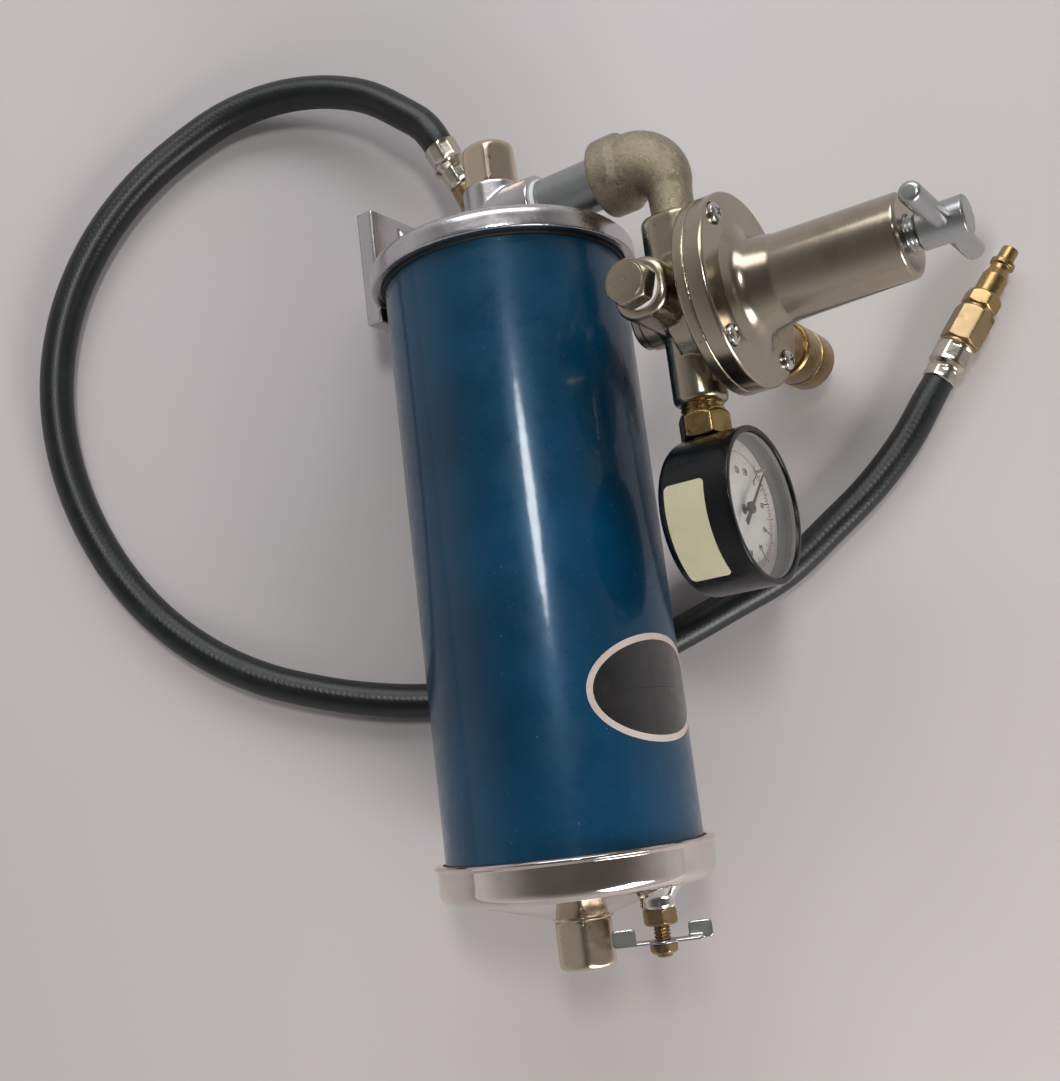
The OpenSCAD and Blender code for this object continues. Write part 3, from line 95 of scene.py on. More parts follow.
def spin(degrees, axis="Z"):
    return Matrix.Rotation(math.radians(degrees), 4, axis)


def polar(r, a, z=0):
    """Point at radius r, angle a and height z."""
    return Vector((r * math.cos(a), r * math.sin(a), z))


def circle(n):
    """Angles of n even steps round a circle."""
    return [2 * math.pi * i / n for i in range(n)]


# How the unit lies: on the hose, on the head's rim and on the coupler's nose
RIM_Z = HEAD_TOP - SKIRT_ROUND
RIM_SPAN = RIM_Z - 66
TILT = math.asin((HOSE_D + 0.2) / math.hypot(RIM_SPAN, SKIRT_T)) - math.atan2(SKIRT_T, RIM_SPAN)
LIFT = RIM_Z * math.sin(TILT) + SKIRT_R * math.cos(TILT)
NOSE_ARM = PORT_X - NOSE_D / 2
ROLL = (math.atan2(NOSE_Y, NOSE_ARM)
        - math.asin((LIFT / math.cos(TILT) - COUPLER_Z * math.tan(TILT)) / math.hypot(NOSE_ARM, NOSE_Y)))
SET_X, SET_Y = -55.9, -134.4
LAY = (Matrix.Scale(MM, 4) @ shift(SET_X, SET_Y, LIFT) @ Matrix.Rotation(-TILT, 4, "X")
       @ Matrix.Rotation(-ROLL, 4, "Y") @ spin(-90, "X"))

# The route of the hose, from its ferrule at the head to the plug's ferrule
KNEE = Vector((INLET_X, INLET_Y, HEAD_TOP + KNEE_H))
LEAN, LEAN_TO, FITTING_L = math.radians(23.7), math.radians(218), 9.8
LEAN_DIR = Vector((math.sin(LEAN) * math.cos(LEAN_TO), math.sin(LEAN) * math.sin(LEAN_TO), math.cos(LEAN)))
R = HOSE_D / 2
HOSE_STUB = 2.5
HOSE_EXIT = LAY @ (KNEE + LEAN_DIR * (FITTING_L + FERRULE_L)) / MM
HOSE_FIRST = LAY @ (KNEE + LEAN_DIR * (FITTING_L + FERRULE_L + HOSE_STUB)) / MM
HOSE = [HOSE_EXIT, HOSE_FIRST] + [Vector(p) for p in (
    (-83, 187.5, 32.5), (-93, 197, 30), (-109, 209.5, 24.5), (-125, 216, 20), (-150, 219.5, 14),
    (-175, 215.5, 9.5), (-199, 203.5, R), (-223.5, 184.5, R), (-243.5, 161, R), (-259, 131, R), (-266.5, 99, R),
    (-266, 65, R), (-258, 32.5, R), (-245, 5, R), (-228, -18, R), (-208, -36, R), (-185.5, -49.5, R),
    (-160, -59, R), (-134, -65.5, R), (-108, -69, R), (-80, -70, R), (-50, -68, R), (-22, -62, R), (4, -52.5, R),
    (28, -42.5, R), (53, -31.5, R), (78, -13.5, R), (100.5, 4.5, 8), (118.5, 23.5, 9), (129.5, 38.6, PLUG_UP),
    (135.5, 46.6, PLUG_UP))]
PLUG_DIR = (HOSE[-1] - HOSE[-2]).normalized()
PLUG_PLACE = (shift(*HOSE[-1]) @ Matrix.Rotation(math.atan2(PLUG_DIR.y, PLUG_DIR.x), 4, "Z")
              @ spin(90, "Y") @ spin(8))

# ---- Camera ----

camera = bpy.data.objects.new("camera", bpy.data.cameras.new("camera"))
SCENE.collection.objects.link(camera)
camera.location = (-0.059748, -0.080436, 0.592504)
camera.rotation_euler = [math.radians(v) for v in (7.52872, 0.7839, -6.96155)]
camera.data.sensor_width = 36
camera.data.lens = 43.3834
camera.data.clip_start = 0.01
SCENE.camera = camera


# ---- Meshes ----

WAVE_SCALE = 0.035  # of the noise by which a turned surface strays, per millimetre
THREAD_STEPS = 8  # rings in one turn of a thread


def axis_x(x, z, y=0, turn=0):
    """Place of a shape drawn along Z that lies along X, its own X pointing down."""
    return shift(x, y, z) @ spin(90, "Y") @ spin(turn)


def axis_y(y, z, x):
    """Place of a shape drawn along Z that lies along Y."""
    return shift(x, y, z) @ spin(-90, "X")


def axis_z(z, x=0, y=0, turn=0):
    """Place of a shape drawn along Z that stays upright."""
    return shift(x, y, z) @ spin(turn)


def rounded(points, closed=False, steps=5):
    """Points (a, b) or (a, b, radius): a corner that carries a radius is rounded with it."""
    out = []
    for i, point in enumerate(points):
        here = Vector(point[:2])
        radius = point[2] if len(point) > 2 else 0
        if not radius or (not closed and i in (0, len(points) - 1)):
            out.append(here)
            continue
        back = Vector(points[i - 1][:2]) - here
        on = Vector(points[(i + 1) % len(points)][:2]) - here
        half = back.angle(on) / 2
        reach = min(radius / math.tan(half), back.length * 0.49, on.length * 0.49)
        radius = reach * math.tan(half)
        centre = here + (back.normalized() + on.normalized()).normalized() * (radius / math.sin(half))
        first = here + back.normalized() * reach - centre
        last = here + on.normalized() * reach - centre
        start = math.atan2(first.y, first.x)
        sweep = (math.atan2(last.y, last.x) - start + math.pi) % (2 * math.pi) - math.pi
        turns = [start + sweep * k / steps for k in range(steps + 1)]
        out += [centre + Vector((math.cos(a), math.sin(a))) * radius for a in turns]
    return out


def skin(rings, closed=False, caps=False):
    """Mesh through rings of points; a ring of one point is a pole."""
    bm = bmesh.new()
    rows = [[bm.verts.new(p) for p in ring] for ring in rings]
    around = max(len(row) for row in rows)
    for low, high in zip(rows, rows[1:] + (rows[:1] if closed else [])):
        for i in range(around):
            j = (i + 1) % around
            corners = dict.fromkeys((low[i % len(low)], low[j % len(low)], high[j % len(high)], high[i % len(high)]))
            if len(corners) > 2:
                bm.faces.new(list(corners))
    if caps:
        bm.faces.new(rows[0][::-1])
        bm.faces.new(rows[-1])
    bmesh.ops.recalc_face_normals(bm, faces=bm.faces)
    return bm


def lathe(points, n=96, closed=False, steps=5, wave=0):
    """Turned shape from (radius, height) points. Wave is how far its surface strays."""
    rings = []
    for r, z in rounded(points, closed, steps):
        if r < 1e-6:
            rings.append([Vector((0, 0, z))])
            continue
        ring = [polar(r, a, z) for a in circle(n)]
        if wave:
            ring = [p * (1 + wave * noise.noise(p * WAVE_SCALE) / r) for p in ring]
            for p in ring:
                p.z = z
        rings.append(ring)
    return skin(rings, closed)


def rod(r, z0, z1, n=96):
    """Plain round bar."""
    return lathe([(0, z0), (r, z0), (r, z1), (0, z1)], n)


def span(low, high, steps):
    """Even steps from low to high, both ends included."""
    return [low + (high - low) * i / steps for i in range(steps + 1)]


def soft_min(a, b, k):
    """The smaller of two radii, blended where they are within k of each other."""
    h = max(k - abs(a - b), 0) / k
    return min(a, b) - h * h * k / 4


def radial(levels, radius, angles):
    """Solid with a flat top and bottom, where radius(z, angle) is its side."""
    return skin([[polar(radius(z, a), a, z) for a in angles] for z in levels], caps=True)


# Steps round a hexagon, close together near its corners
HEX_ANGLES = [math.radians(60 * side + step) for side in range(6)
              for step in (0, 0.8, 1.8, 3.2, 5.5, 9, 15, 22, 30, 38, 45, 51, 54.5, 56.8, 58.2, 59.2)]


def flats(af, angle, sides=6):
    """Radius of a regular bar of that width across flats, its corner at angle 0."""
    step = 2 * math.pi / sides
    return af / 2 / math.cos(angle % step - step / 2)


def hex_bar(af, h, low=0.06, high=0.06, soft=0.45):
    """Hexagon with its corners turned off over a share of its width at each end."""
    out = af / math.sqrt(3) + 0.2
    inner = af / 2 - 0.3

    def radius(z, a):
        side = soft_min(flats(af, a), af / math.sqrt(3) - 0.15, soft)
        for share, depth in ((low, z), (high, h - z)):
            if share:
                side = soft_min(side, inner + (out - inner) * depth / (af * share), soft)
        return side

    first, last = af * max(low, 0.02), h - af * max(high, 0.02)
    return radial(span(0, first, 8) + span(first, last, 4)[1:-1] + span(last, h, 8), radius, HEX_ANGLES)


def cap_nut(h, edge):
    """Hexagon with a domed closed end at the top."""
    limit = CAP_AF / math.sqrt(3) + 0.1
    inner = CAP_AF / 2 + 0.6

    def radius(z, a):
        side = soft_min(flats(CAP_AF, a), limit - 0.2, 0.7)
        deep = max(z - (h - edge), 0)
        side = soft_min(side, limit - edge + math.sqrt(max(edge * edge - deep * deep, 0)), 1.2)
        return soft_min(side, inner + z * 0.9, 0.5)

    levels = span(0, 2, 6) + span(2, h - edge, 4)[1:-1]
    levels += [h - edge + edge * math.sin(math.radians(a)) for a in range(0, 91, 6)]
    return radial(levels, radius, HEX_ANGLES)


def threaded(r, pitch, z0, z1, depth, n=72):
    """Threaded bar; the thread fades over a half turn at both ends."""
    def radius(z, a):
        fade = min(1, (z - z0) / pitch * 1.5, (z1 - z) / pitch * 1.5)
        return r - depth * fade * (0.5 - 0.5 * math.cos(2 * math.pi * z / pitch - a))

    return radial(span(z0, z1, round((z1 - z0) / pitch * THREAD_STEPS)), radius, circle(n))


def placed(bm, matrix):
    bmesh.ops.transform(bm, verts=bm.verts, matrix=matrix)
    return bm


def box(low, high):
    bm = bmesh.new()
    bmesh.ops.create_cube(bm, size=1)
    low, high = Vector(low), Vector(high)
    return placed(bm, shift(*(low + high) / 2) @ Matrix.Diagonal((*(high - low), 1)))


def bar(outline, h):
    """Straight bar of height h over a closed outline whose corners may carry radii."""
    points = rounded(outline, True)
    return skin([[Vector((p.x, p.y, z)) for p in points] for z in (0, h)], caps=True)


def rectangle(a, b, r):
    return [(a / 2, b / 2, r), (-a / 2, b / 2, r), (-a / 2, -b / 2, r), (a / 2, -b / 2, r)]


def temporary(bm):
    mesh = bpy.data.meshes.new("temporary")
    bm.to_mesh(mesh)
    bm.free()
    ob = bpy.data.objects.new("temporary", mesh)
    SCENE.collection.objects.link(ob)
    return ob


def evaluated(ob):
    """The mesh that an object's modifiers, or its font, make of it."""
    graph = bpy.context.evaluated_depsgraph_get()
    graph.update()
    mesh = bpy.data.meshes.new_from_object(ob.evaluated_get(graph))
    bm = bmesh.new()
    bm.from_mesh(mesh)
    bpy.data.meshes.remove(mesh)
    return bm


def applied(ob, others=()):
    """The mesh of a temporary object, which goes away with the others that it needed."""
    bm = evaluated(ob)
    for old in (ob, *others):
        bpy.data.meshes.remove(old.data)
    return bm


def cut(bm, others):
    """The mesh with the others cut out of it."""
    ob = temporary(bm)
    tools = [temporary(other) for other in others]
    for tool in tools:
        step = ob.modifiers.new("boolean", "BOOLEAN")
        step.operation, step.object, step.solver = "DIFFERENCE", tool, "EXACT"
    return applied(ob, tools)


def joined(*parts):
    """Several meshes as one, left as they are."""
    out = bmesh.new()
    for part in parts:
        mesh = bpy.data.meshes.new("part")
        part.to_mesh(mesh)
        part.free()
        out.from_mesh(mesh)
        bpy.data.meshes.remove(mesh)
    return out


def cast(parts, voxel, smooth):
    """One casting from parts that overlap, its inner corners filled and its edges softened."""
    ob = temporary(joined(*parts))
    step = ob.modifiers.new("remesh", "REMESH")
    step.mode, step.voxel_size, step.use_smooth_shade = "VOXEL", voxel, True
    step = ob.modifiers.new("smooth", "SMOOTH")
    step.factor, step.iterations = 0.5, smooth
    return applied(ob)


def sweep(points, radii, n, start=None):
    """Rings of n points round a path, carried along it without twist."""
    normal = None
    rings = []
    for i, p in enumerate(points):
        tangent = (points[min(i + 1, len(points) - 1)] - points[max(i - 1, 0)]).normalized()
        if normal is None:
            normal = tangent.orthogonal() if start is None else start
        normal = (normal - tangent * normal.dot(tangent)).normalized()
        side = tangent.cross(normal)
        rings.append([p + (normal * math.cos(a) + side * math.sin(a)) * radii[i] for a in circle(n)])
    return rings


def smooth_path(points, per):
    """Smooth curve through the points of a route; its speed follows the points' spacing."""
    steps = [(b - a).length for a, b in zip(points, points[1:])]
    slopes = [(b - a) / step for a, b, step in zip(points, points[1:], steps)]
    inner = [(before * after_l + after * before_l) / (before_l + after_l)
             for before, after, before_l, after_l in zip(slopes, slopes[1:], steps, steps[1:])]
    tangents = [slopes[0], *inner, slopes[-1]]
    out = []
    for i, step in enumerate(steps):
        for k in range(per):
            t = k / per
            out.append(points[i] * (2 * t ** 3 - 3 * t * t + 1) + tangents[i] * step * (t ** 3 - 2 * t * t + t)
                       + points[i + 1] * (3 * t * t - 2 * t ** 3) + tangents[i + 1] * step * (t ** 3 - t * t))
    return out + [points[-1]]


def add(name, bm, look, nodes=(), body="root", place=Matrix.Identity(4), laid=True, sharp=38):
    """One piece of the object: its mesh is put in place, given its material and set on its body."""
    mesh = bpy.data.meshes.new(name)
    bm.to_mesh(mesh)
    bm.free()
    mesh.transform((LAY if laid else Matrix.Scale(MM, 4)) @ place)
    mesh.polygons.foreach_set("use_smooth", [True] * len(mesh.polygons))
    mesh.set_sharp_from_angle(angle=math.radians(sharp))
    mesh.materials.clear()
    mesh.materials.append(look)
    ob = bpy.data.objects.new(name, mesh)
    SCENE.collection.objects.link(ob)
    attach(ob, body)
    if nodes:
        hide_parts(*nodes)
    return ob


# ---- Materials ----

class Look:
    """A node material. Textures are in object coordinates, so scales are per metre."""

    def __init__(self, name, **sockets):
        self.material = bpy.data.materials.new(name)
        self.material.use_nodes = True
        self.tree = self.material.node_tree
        self.shader = self.tree.nodes["Principled BSDF"]
        self.set(self.shader, **sockets)
        self.where = self.add("ShaderNodeTexCoord").outputs["Object"]

    def add(self, kind, props=None, **inputs):
        node = self.tree.nodes.new(kind)
        for key, value in (props or {}).items():
            setattr(node, key, value)
        self.set(node, **inputs)
        return node

    def set(self, node, **inputs):
        for key, value in inputs.items():
            socket = node.inputs[int(key[1:])] if key[0] == "_" else node.inputs[key.replace("_", " ")]
            if isinstance(value, bpy.types.NodeSocket):
                self.tree.links.new(value, socket)
            else:
                socket.default_value = value

    def noise(self, scale, detail=3, rough=0.55, vector=None, distort=0.0):
        return self.add("ShaderNodeTexNoise", Vector=vector or self.where, Scale=scale, Detail=detail,
                        Roughness=rough, Distortion=distort).outputs["Fac"]

    def range(self, value, low, high, to_low=0.0, to_high=1.0):
        return self.add("ShaderNodeMapRange", {"interpolation_type": "SMOOTHSTEP"}, Value=value, From_Min=low,
                        From_Max=high, To_Min=to_low, To_Max=to_high).outputs["Result"]

    def mix(self, fac, a, b):
        return self.add("ShaderNodeMix", {"data_type": "RGBA"}, _0=fac, _6=a, _7=b).outputs[2]

    def math(self, operation, a, b=0.0):
        return self.add("ShaderNodeMath", {"operation": operation}, _0=a, _1=b).outputs[0]

    def turned(self, place, along=1.0):
        """Coordinates that run along and out from a turned piece's axis, in millimetres."""
        back = (LAY @ place).inverted()
        scale = back.to_scale()
        local = self.add("ShaderNodeMapping", Vector=self.where, Location=back.to_translation(),
                         Rotation=back.to_euler(), Scale=scale).outputs[0]
        parts = self.add("ShaderNodeSeparateXYZ", Vector=local)
        flat = self.add("ShaderNodeCombineXYZ", X=parts.outputs["X"], Y=parts.outputs["Y"]).outputs[0]
        out = self.add("ShaderNodeVectorMath", {"operation": "LENGTH"}, _0=flat).outputs["Value"]
        return self.add("ShaderNodeCombineXYZ", X=self.math("MULTIPLY", parts.outputs["Z"], along),
                        Y=self.math("MULTIPLY", out, along)).outputs[0]

    def bump(self, height, distance, strength=1.0, normal=None):
        inputs = {"Height": height, "Distance": distance, "Strength": strength}
        if normal is not None:
            inputs["Normal"] = normal
        return self.add("ShaderNodeBump", **inputs).outputs["Normal"]

    def finish(self, **sockets):
        self.set(self.shader, **sockets)
        return self.material


def rgb(r, g, b):
    """Colour from 0 to 255 as the screen shows it."""
    return tuple(((v / 255 + 0.055) / 1.055) ** 2.4 if v > 10 else v / 255 / 12.92 for v in (r, g, b)) + (1.0,)


def metal(name, base, stain, rough, spread=0.12, grain=900, depth=0.00002, lines=None, pits=0.0, patch=90):
    """Metal with patches of a second tone, uneven polish, fine grain and, if asked, turning lines or pits."""
    look = Look(name, Metallic=1.0)
    cloud = look.noise(patch, 5, 0.6)
    colour = look.mix(look.range(cloud, 0.52, 0.75), base, stain)
    fine = look.noise(grain, 4, 0.65)
    rub = look.noise(patch * 2.7, 4, 0.7)
    roughness = look.range(rub, 0.3, 0.72, rough - spread / 2, rough + spread / 2)
    normal = look.bump(fine, depth)
    if lines is not None:
        normal = look.bump(look.noise(1.0, 2, 0.5, look.turned(lines, 4.0)), 0.00002, 1.0, normal)
    if pits:
        spots = look.range(look.noise(260, 2, 0.4), 0.70, 0.74)
        colour = look.mix(look.math("MULTIPLY", spots, pits), colour, rgb(40, 33, 24))
    return look.finish(Base_Color=colour, Roughness=roughness, Normal=normal)


BONNET_AXIS = axis_x(0, REG_Z)
COUPLER_AXIS = axis_y(0, COUPLER_Z, PORT_X)


def blue_paint():
    look = Look("blue_paint", Metallic=0.2, Specular_IOR_Level=0.25,
                Coat_Weight=0.45, Coat_Roughness=0.1, Coat_IOR=1.5)
    flow = look.noise(14, 3, 0.5)
    colour = look.mix(look.range(flow, 0.3, 0.7), rgb(3, 50, 75), rgb(5, 67, 98))
    specks = look.range(look.noise(900, 2, 0.5), 0.73, 0.78)
    colour = look.mix(look.math("MULTIPLY", specks, 0.35), colour, rgb(150, 175, 190))
    peel = look.noise(170, 2, 0.4)
    rub = look.noise(60, 5, 0.7)
    look.set(look.shader, Coat_Normal=look.bump(peel, 0.00003))
    return look.finish(Base_Color=colour, Roughness=look.range(rub, 0.3, 0.7, 0.24, 0.4))


BRAID_STRANDS, BRAID_STEP = 14, 2.6


def hose_rubber():
    """Rubber cover with the lay of its braid showing through."""
    look = Look("hose_rubber")
    uv = look.add("ShaderNodeUVMap", {"uv_map": "lay"}).outputs[0]
    parts = look.add("ShaderNodeSeparateXYZ", Vector=uv)
    around, along = parts.outputs["X"], parts.outputs["Y"]
    waves = []
    for turn in (1, -1):
        phase = look.math("ADD", look.math("MULTIPLY", around, 2 * math.pi * BRAID_STRANDS * turn),
                          look.math("MULTIPLY", along, 2 * math.pi / BRAID_STEP))
        waves.append(look.math("SINE", phase))
    braid = look.math("MAXIMUM", *waves)
    fine = look.noise(1500, 3, 0.6)
    dust = look.range(look.noise(45, 5, 0.7), 0.45, 0.8)
    colour = look.mix(dust, rgb(18, 22, 24), rgb(32, 37, 39))
    normal = look.bump(fine, 0.00004, 0.6, look.bump(braid, 0.00002))
    return look.finish(Base_Color=colour, Roughness=look.range(dust, 0, 1, 0.36, 0.5), Normal=normal)


def painted(name, base, second, rough, grain=700, depth=0.00002, **sockets):
    """Even surface that isn't metal, in two close tones."""
    look = Look(name, **sockets)
    colour = look.mix(look.range(look.noise(60, 4, 0.6), 0.35, 0.75), base, second)
    roughness = look.range(look.noise(180, 3), 0.3, 0.7, rough - 0.05, rough + 0.06)
    return look.finish(Base_Color=colour, Roughness=roughness, Normal=look.bump(look.noise(grain, 3), depth))


def glass():
    """Thin clear cover: mostly see-through, with the reflections of glass."""
    look = Look("lens_glass", Base_Color=(0.02, 0.022, 0.022, 1), Alpha=0.14, IOR=3.0)
    return look.finish(Roughness=look.range(look.noise(120, 4, 0.7), 0.4, 0.8, 0.01, 0.06))


def chrome():
    """Bright plating over a spun pan: its reflections waver a little."""
    look = Look("chrome", Metallic=1.0)
    colour = look.mix(look.range(look.noise(30, 4, 0.6), 0.4, 0.7), rgb(222, 214, 210), rgb(206, 192, 184))
    rough = look.range(look.noise(80, 4, 0.7), 0.3, 0.72, 0.06, 0.13)
    return look.finish(Base_Color=colour, Roughness=rough, Normal=look.bump(look.noise(26, 1, 0.4), 0.003))


PAINT = blue_paint()
CHROME = chrome()
ALUMINIUM = metal("cast_aluminium", rgb(196, 195, 197), rgb(180, 176, 176), 0.24, 0.08, 900, 0.00002, pits=0.5,
                  patch=40)
NUT = metal("nut_nickel", rgb(204, 189, 168), rgb(182, 164, 138), 0.22, 0.08, 900, 0.000015, pits=0.8, patch=60)
ZINC = metal("nipple_zinc", rgb(160, 166, 164), rgb(140, 147, 145), 0.32, 0.08, 700, 0.00002, pits=0.3, patch=60)
ELBOW = metal("elbow_cast", rgb(158, 148, 127), rgb(124, 113, 92), 0.28, 0.1, 1400, 0.0005)
NICKEL = metal("regulator_nickel", rgb(166, 156, 138), rgb(146, 132, 108), 0.26, 0.08, 700, 0.00003, pits=0.3,
               patch=50)
SATIN = metal("bonnet_satin", rgb(166, 156, 140), rgb(150, 139, 121), 0.21, 0.05, 900, 0.00001, lines=BONNET_AXIS,
              patch=40)
STEEL = metal("handle_zinc", rgb(170, 172, 172), rgb(152, 154, 154), 0.3, 0.06, 900, 0.000008)
SCREW = metal("screw_steel", rgb(196, 193, 185), rgb(160, 152, 138), 0.2, 0.08, 900, 0.00001)
BRASS = metal("brass", rgb(166, 139, 95), rgb(132, 108, 73), 0.27, 0.1, 700, 0.00002, pits=0.6)
DULL_BRASS = metal("brass_dull", rgb(160, 138, 104), rgb(128, 106, 76), 0.32, 0.1, 700, 0.00002, pits=0.5)
SLEEVE = metal("brass_sleeve", rgb(168, 142, 100), rgb(140, 114, 76), 0.28, 0.08, 700, 0.00002, lines=COUPLER_AXIS)
FERRULE = metal("ferrule_zinc", rgb(196, 190, 176), rgb(166, 156, 138), 0.2, 0.08, 500, 0.00001)
RUBBER = painted("gasket_rubber", rgb(20, 20, 22), rgb(34, 34, 36), 0.55)
BLACK = painted("gauge_enamel", rgb(7, 8, 9), rgb(10, 12, 13), 0.24, 500, 0.00001, Specular_IOR_Level=0.35)
DIAL = painted("dial_white", rgb(236, 234, 230), rgb(228, 226, 222), 0.5)
INNER = painted("dial_wall", rgb(128, 128, 126), rgb(116, 116, 114), 0.5)
POINTER = painted("pointer_grey", rgb(96, 90, 88), rgb(80, 75, 72), 0.4)
PEG = painted("dial_peg", rgb(176, 150, 146), rgb(160, 136, 132), 0.4)
INK = painted("dial_ink", rgb(58, 56, 58), rgb(70, 68, 70), 0.6)
RED = painted("dial_red", rgb(170, 84, 82), rgb(160, 76, 76), 0.6)
TAPE = painted("tape_white", rgb(236, 236, 234), rgb(222, 222, 220), 0.6)
STICKER = painted("sticker_pale", rgb(204, 200, 168), rgb(194, 190, 158), 0.45)
FIELD = painted("label_black", rgb(24, 23, 24), rgb(32, 30, 30), 0.3, Coat_Weight=0.6)
BORDER = painted("label_cream", rgb(206, 192, 184), rgb(190, 176, 168), 0.3, Metallic=0.2)
FILTER = painted("filter_media", rgb(214, 206, 184), rgb(196, 188, 164), 0.9, 1500, 0.0001)
INNER_STEEL = metal("inner_steel", rgb(184, 184, 186), rgb(160, 158, 156), 0.35)
HOSE_LOOK = hose_rubber()
LENS = glass()

# ---- Hose ----

route = smooth_path(HOSE, 12)
travelled = [0.0]
for before, after in zip(route, route[1:]):
    travelled.append(travelled[-1] + (after - before).length)
HOSE_L = travelled[-1]
GRIP_FADE, GRIP_SHARE = 14, 0.085


def hose_radius(s):
    """Radius at that way along the hose, which is a little slimmer where its ferrules grip it."""
    grip = max(math.exp(-s / GRIP_FADE), math.exp(-(HOSE_L - s) / GRIP_FADE))
    return R * (1 - GRIP_SHARE * grip)


SIDES = 32
rings = sweep(route, [hose_radius(s) for s in travelled], SIDES, Vector((0, 0, 1)))
hose_bm = skin(rings, caps=True)
layer = hose_bm.loops.layers.uv.new("lay")  # turns round the hose, and millimetres along it
hose_bm.verts.index_update()
for face in hose_bm.faces:
    columns = [loop.vert.index % SIDES for loop in face.loops]
    wraps = len(face.loops) == 4 and max(columns) - min(columns) > 1
    for loop, column in zip(face.loops, columns):
        loop[layer].uv = ((column + SIDES if wraps and column == 0 else column) / SIDES,
                          travelled[loop.vert.index // SIDES])
hose = add("whip_hose", hose_bm, HOSE_LOOK, ["hose"], laid=False)


def crimped(profile, crimps, turn=0.0):
    """Ferrule from (height, radius) points; its crimps, (from, to, depth), are pressed to eight flats."""
    levels = []
    for (z0, r0), (z1, r1) in zip(profile, profile[1:]):
        levels += span(z0, z1, max(2, math.ceil((z1 - z0) / 0.5)))[:-1]
    levels.append(profile[-1][0])

    def radius(z, a):
        for (z0, r0), (z1, r1) in zip(profile, profile[1:]):
            if z <= z1:
                side = r0 + (r1 - r0) * (z - z0) / (z1 - z0)
                break
        for z0, z1, depth in crimps:
            inside = max(0, min(1, (z - z0) / 1.2, (z1 - z) / 1.2))
            pressed = soft_min(flats(2 * (side - depth), a + turn, 8), side, 0.3)
            side += (pressed - side) * inside
        return side

    return radial(levels, radius, circle(144))


ferrule_r = R + 0.3
plug_ferrule = add("plug_ferrule_crimped", crimped(
    [(0, ferrule_r - 0.5), (0.5, ferrule_r), (5.2, ferrule_r), (6, ferrule_r - 0.8), (7, ferrule_r - 0.6),
     (8.6, 8.9), (9.6, 9), (PLUG_FERRULE_L - 1, 9), (PLUG_FERRULE_L, 8)],
    [(0.6, 5.4, 0.35), (9.2, PLUG_FERRULE_L - 1, 0.5)]),
    FERRULE, ["plug_ferrule"], place=PLUG_PLACE, laid=False)

nut_place = PLUG_PLACE @ axis_z(PLUG_FERRULE_L)
plug_nut = add("plug_nut", joined(
    lathe([(0, 0), (8.1, 0, 0.3), (8.1, 1.5, 0.3), (7.4, 1.7), (7.4, NUT_L), (0, NUT_L)]),
    placed(hex_bar(17, NUT_L - 2.4, 0.07, 0.1), axis_z(1.6)),
    lathe([(0, NUT_L - 1.2), (7.2, NUT_L - 1.2), (7.2, NUT_L - 0.1, 0.3), (0, NUT_L - 0.1)])),
    DULL_BRASS, ["hose_nut"], place=nut_place, laid=False)

plug_place = PLUG_PLACE @ axis_z(PLUG_FERRULE_L + NUT_L)
plug = add("plug_male", joined(
    placed(hex_bar(15.5, 7.6, 0.1, 0.14), axis_z(0.4)),
    lathe([(0, 0), (7.3, 0, 0.2), (7.3, 0.6), (6, 0.7), (6.1, 8, 0.4), (6.15, 17.6, 0.8), (4.7, 21.3, 0.4),
           (4.6, 23.6, 0.3), (5.7, 24.2, 0.4), (5.75, 26.2, 0.4), (4.1, 27.1, 0.3), (3.95, 33.5, 0.5),
           (2.6, 33.5, 0.2), (2.6, 30), (0, 30)])),
    BRASS, ["hose_plug"], place=plug_place, laid=False)

# ---- Canister ----

tube_side = [(TUBE_R, z) for z in span(-TUBE_SEAT, TUBE_H + TUBE_SEAT, 60)]
add("tube_shell", lathe([(TUBE_IN, -TUBE_SEAT), *tube_side, (TUBE_IN, TUBE_H + TUBE_SEAT)], 192, True, wave=0.02),
    PAINT, ["tube"])
for name, node, z0, z1 in (("gasket_low", "pan_gasket", -6, 0.15),
                           ("gasket_high", "head_gasket", TUBE_H - 0.8, TUBE_H + 6)):
    add(name, lathe([(SEAL_IN, z0), (LIP_R, z0, 0.3), (LIP_R, z1, 0.3), (SEAL_IN, z1)], 160, True),
        RUBBER, [node])

floor_in = -PAN_H + 1.6
add("pan_shell", lathe([
    (LIP_R, 0.0), (PAN_R + 0.5, 0.0, 0.5), (PAN_R + 1.2, -0.6, 0.6), (PAN_R + 1.2, -1.4, 0.5),
    (PAN_R + 0.1, -2.2, 0.6), (PAN_R, -PAN_SIDE, PAN_ROUND), (PAN_R - PAN_ROUND + 3, -PAN_SIDE - 0.3, 8),
    (CAP_AF / 2 + 2, -PAN_H, 3), (5, -PAN_H), (5, floor_in), (CAP_AF / 2 + 2, floor_in),
    (SEAL_IN - 6, -PAN_SIDE + 1.6, 4), (SEAL_IN, -PAN_SIDE + 8, 3), (SEAL_IN, -6), (LIP_R, -6)],
    192, True, steps=12), CHROME, ["pan"])
add("pan_boss", lathe([(0, DRAIN_TOP), (6.4, DRAIN_TOP, 0.5), (7, DRAIN_TOP + 1.2, 1), (6.7, -PAN_SIDE - 4.5, 3),
                       (12, -PAN_SIDE + 0.5), (0, -PAN_SIDE + 0.5)], 96, steps=8), CHROME,
    place=axis_z(0, DRAIN_X))

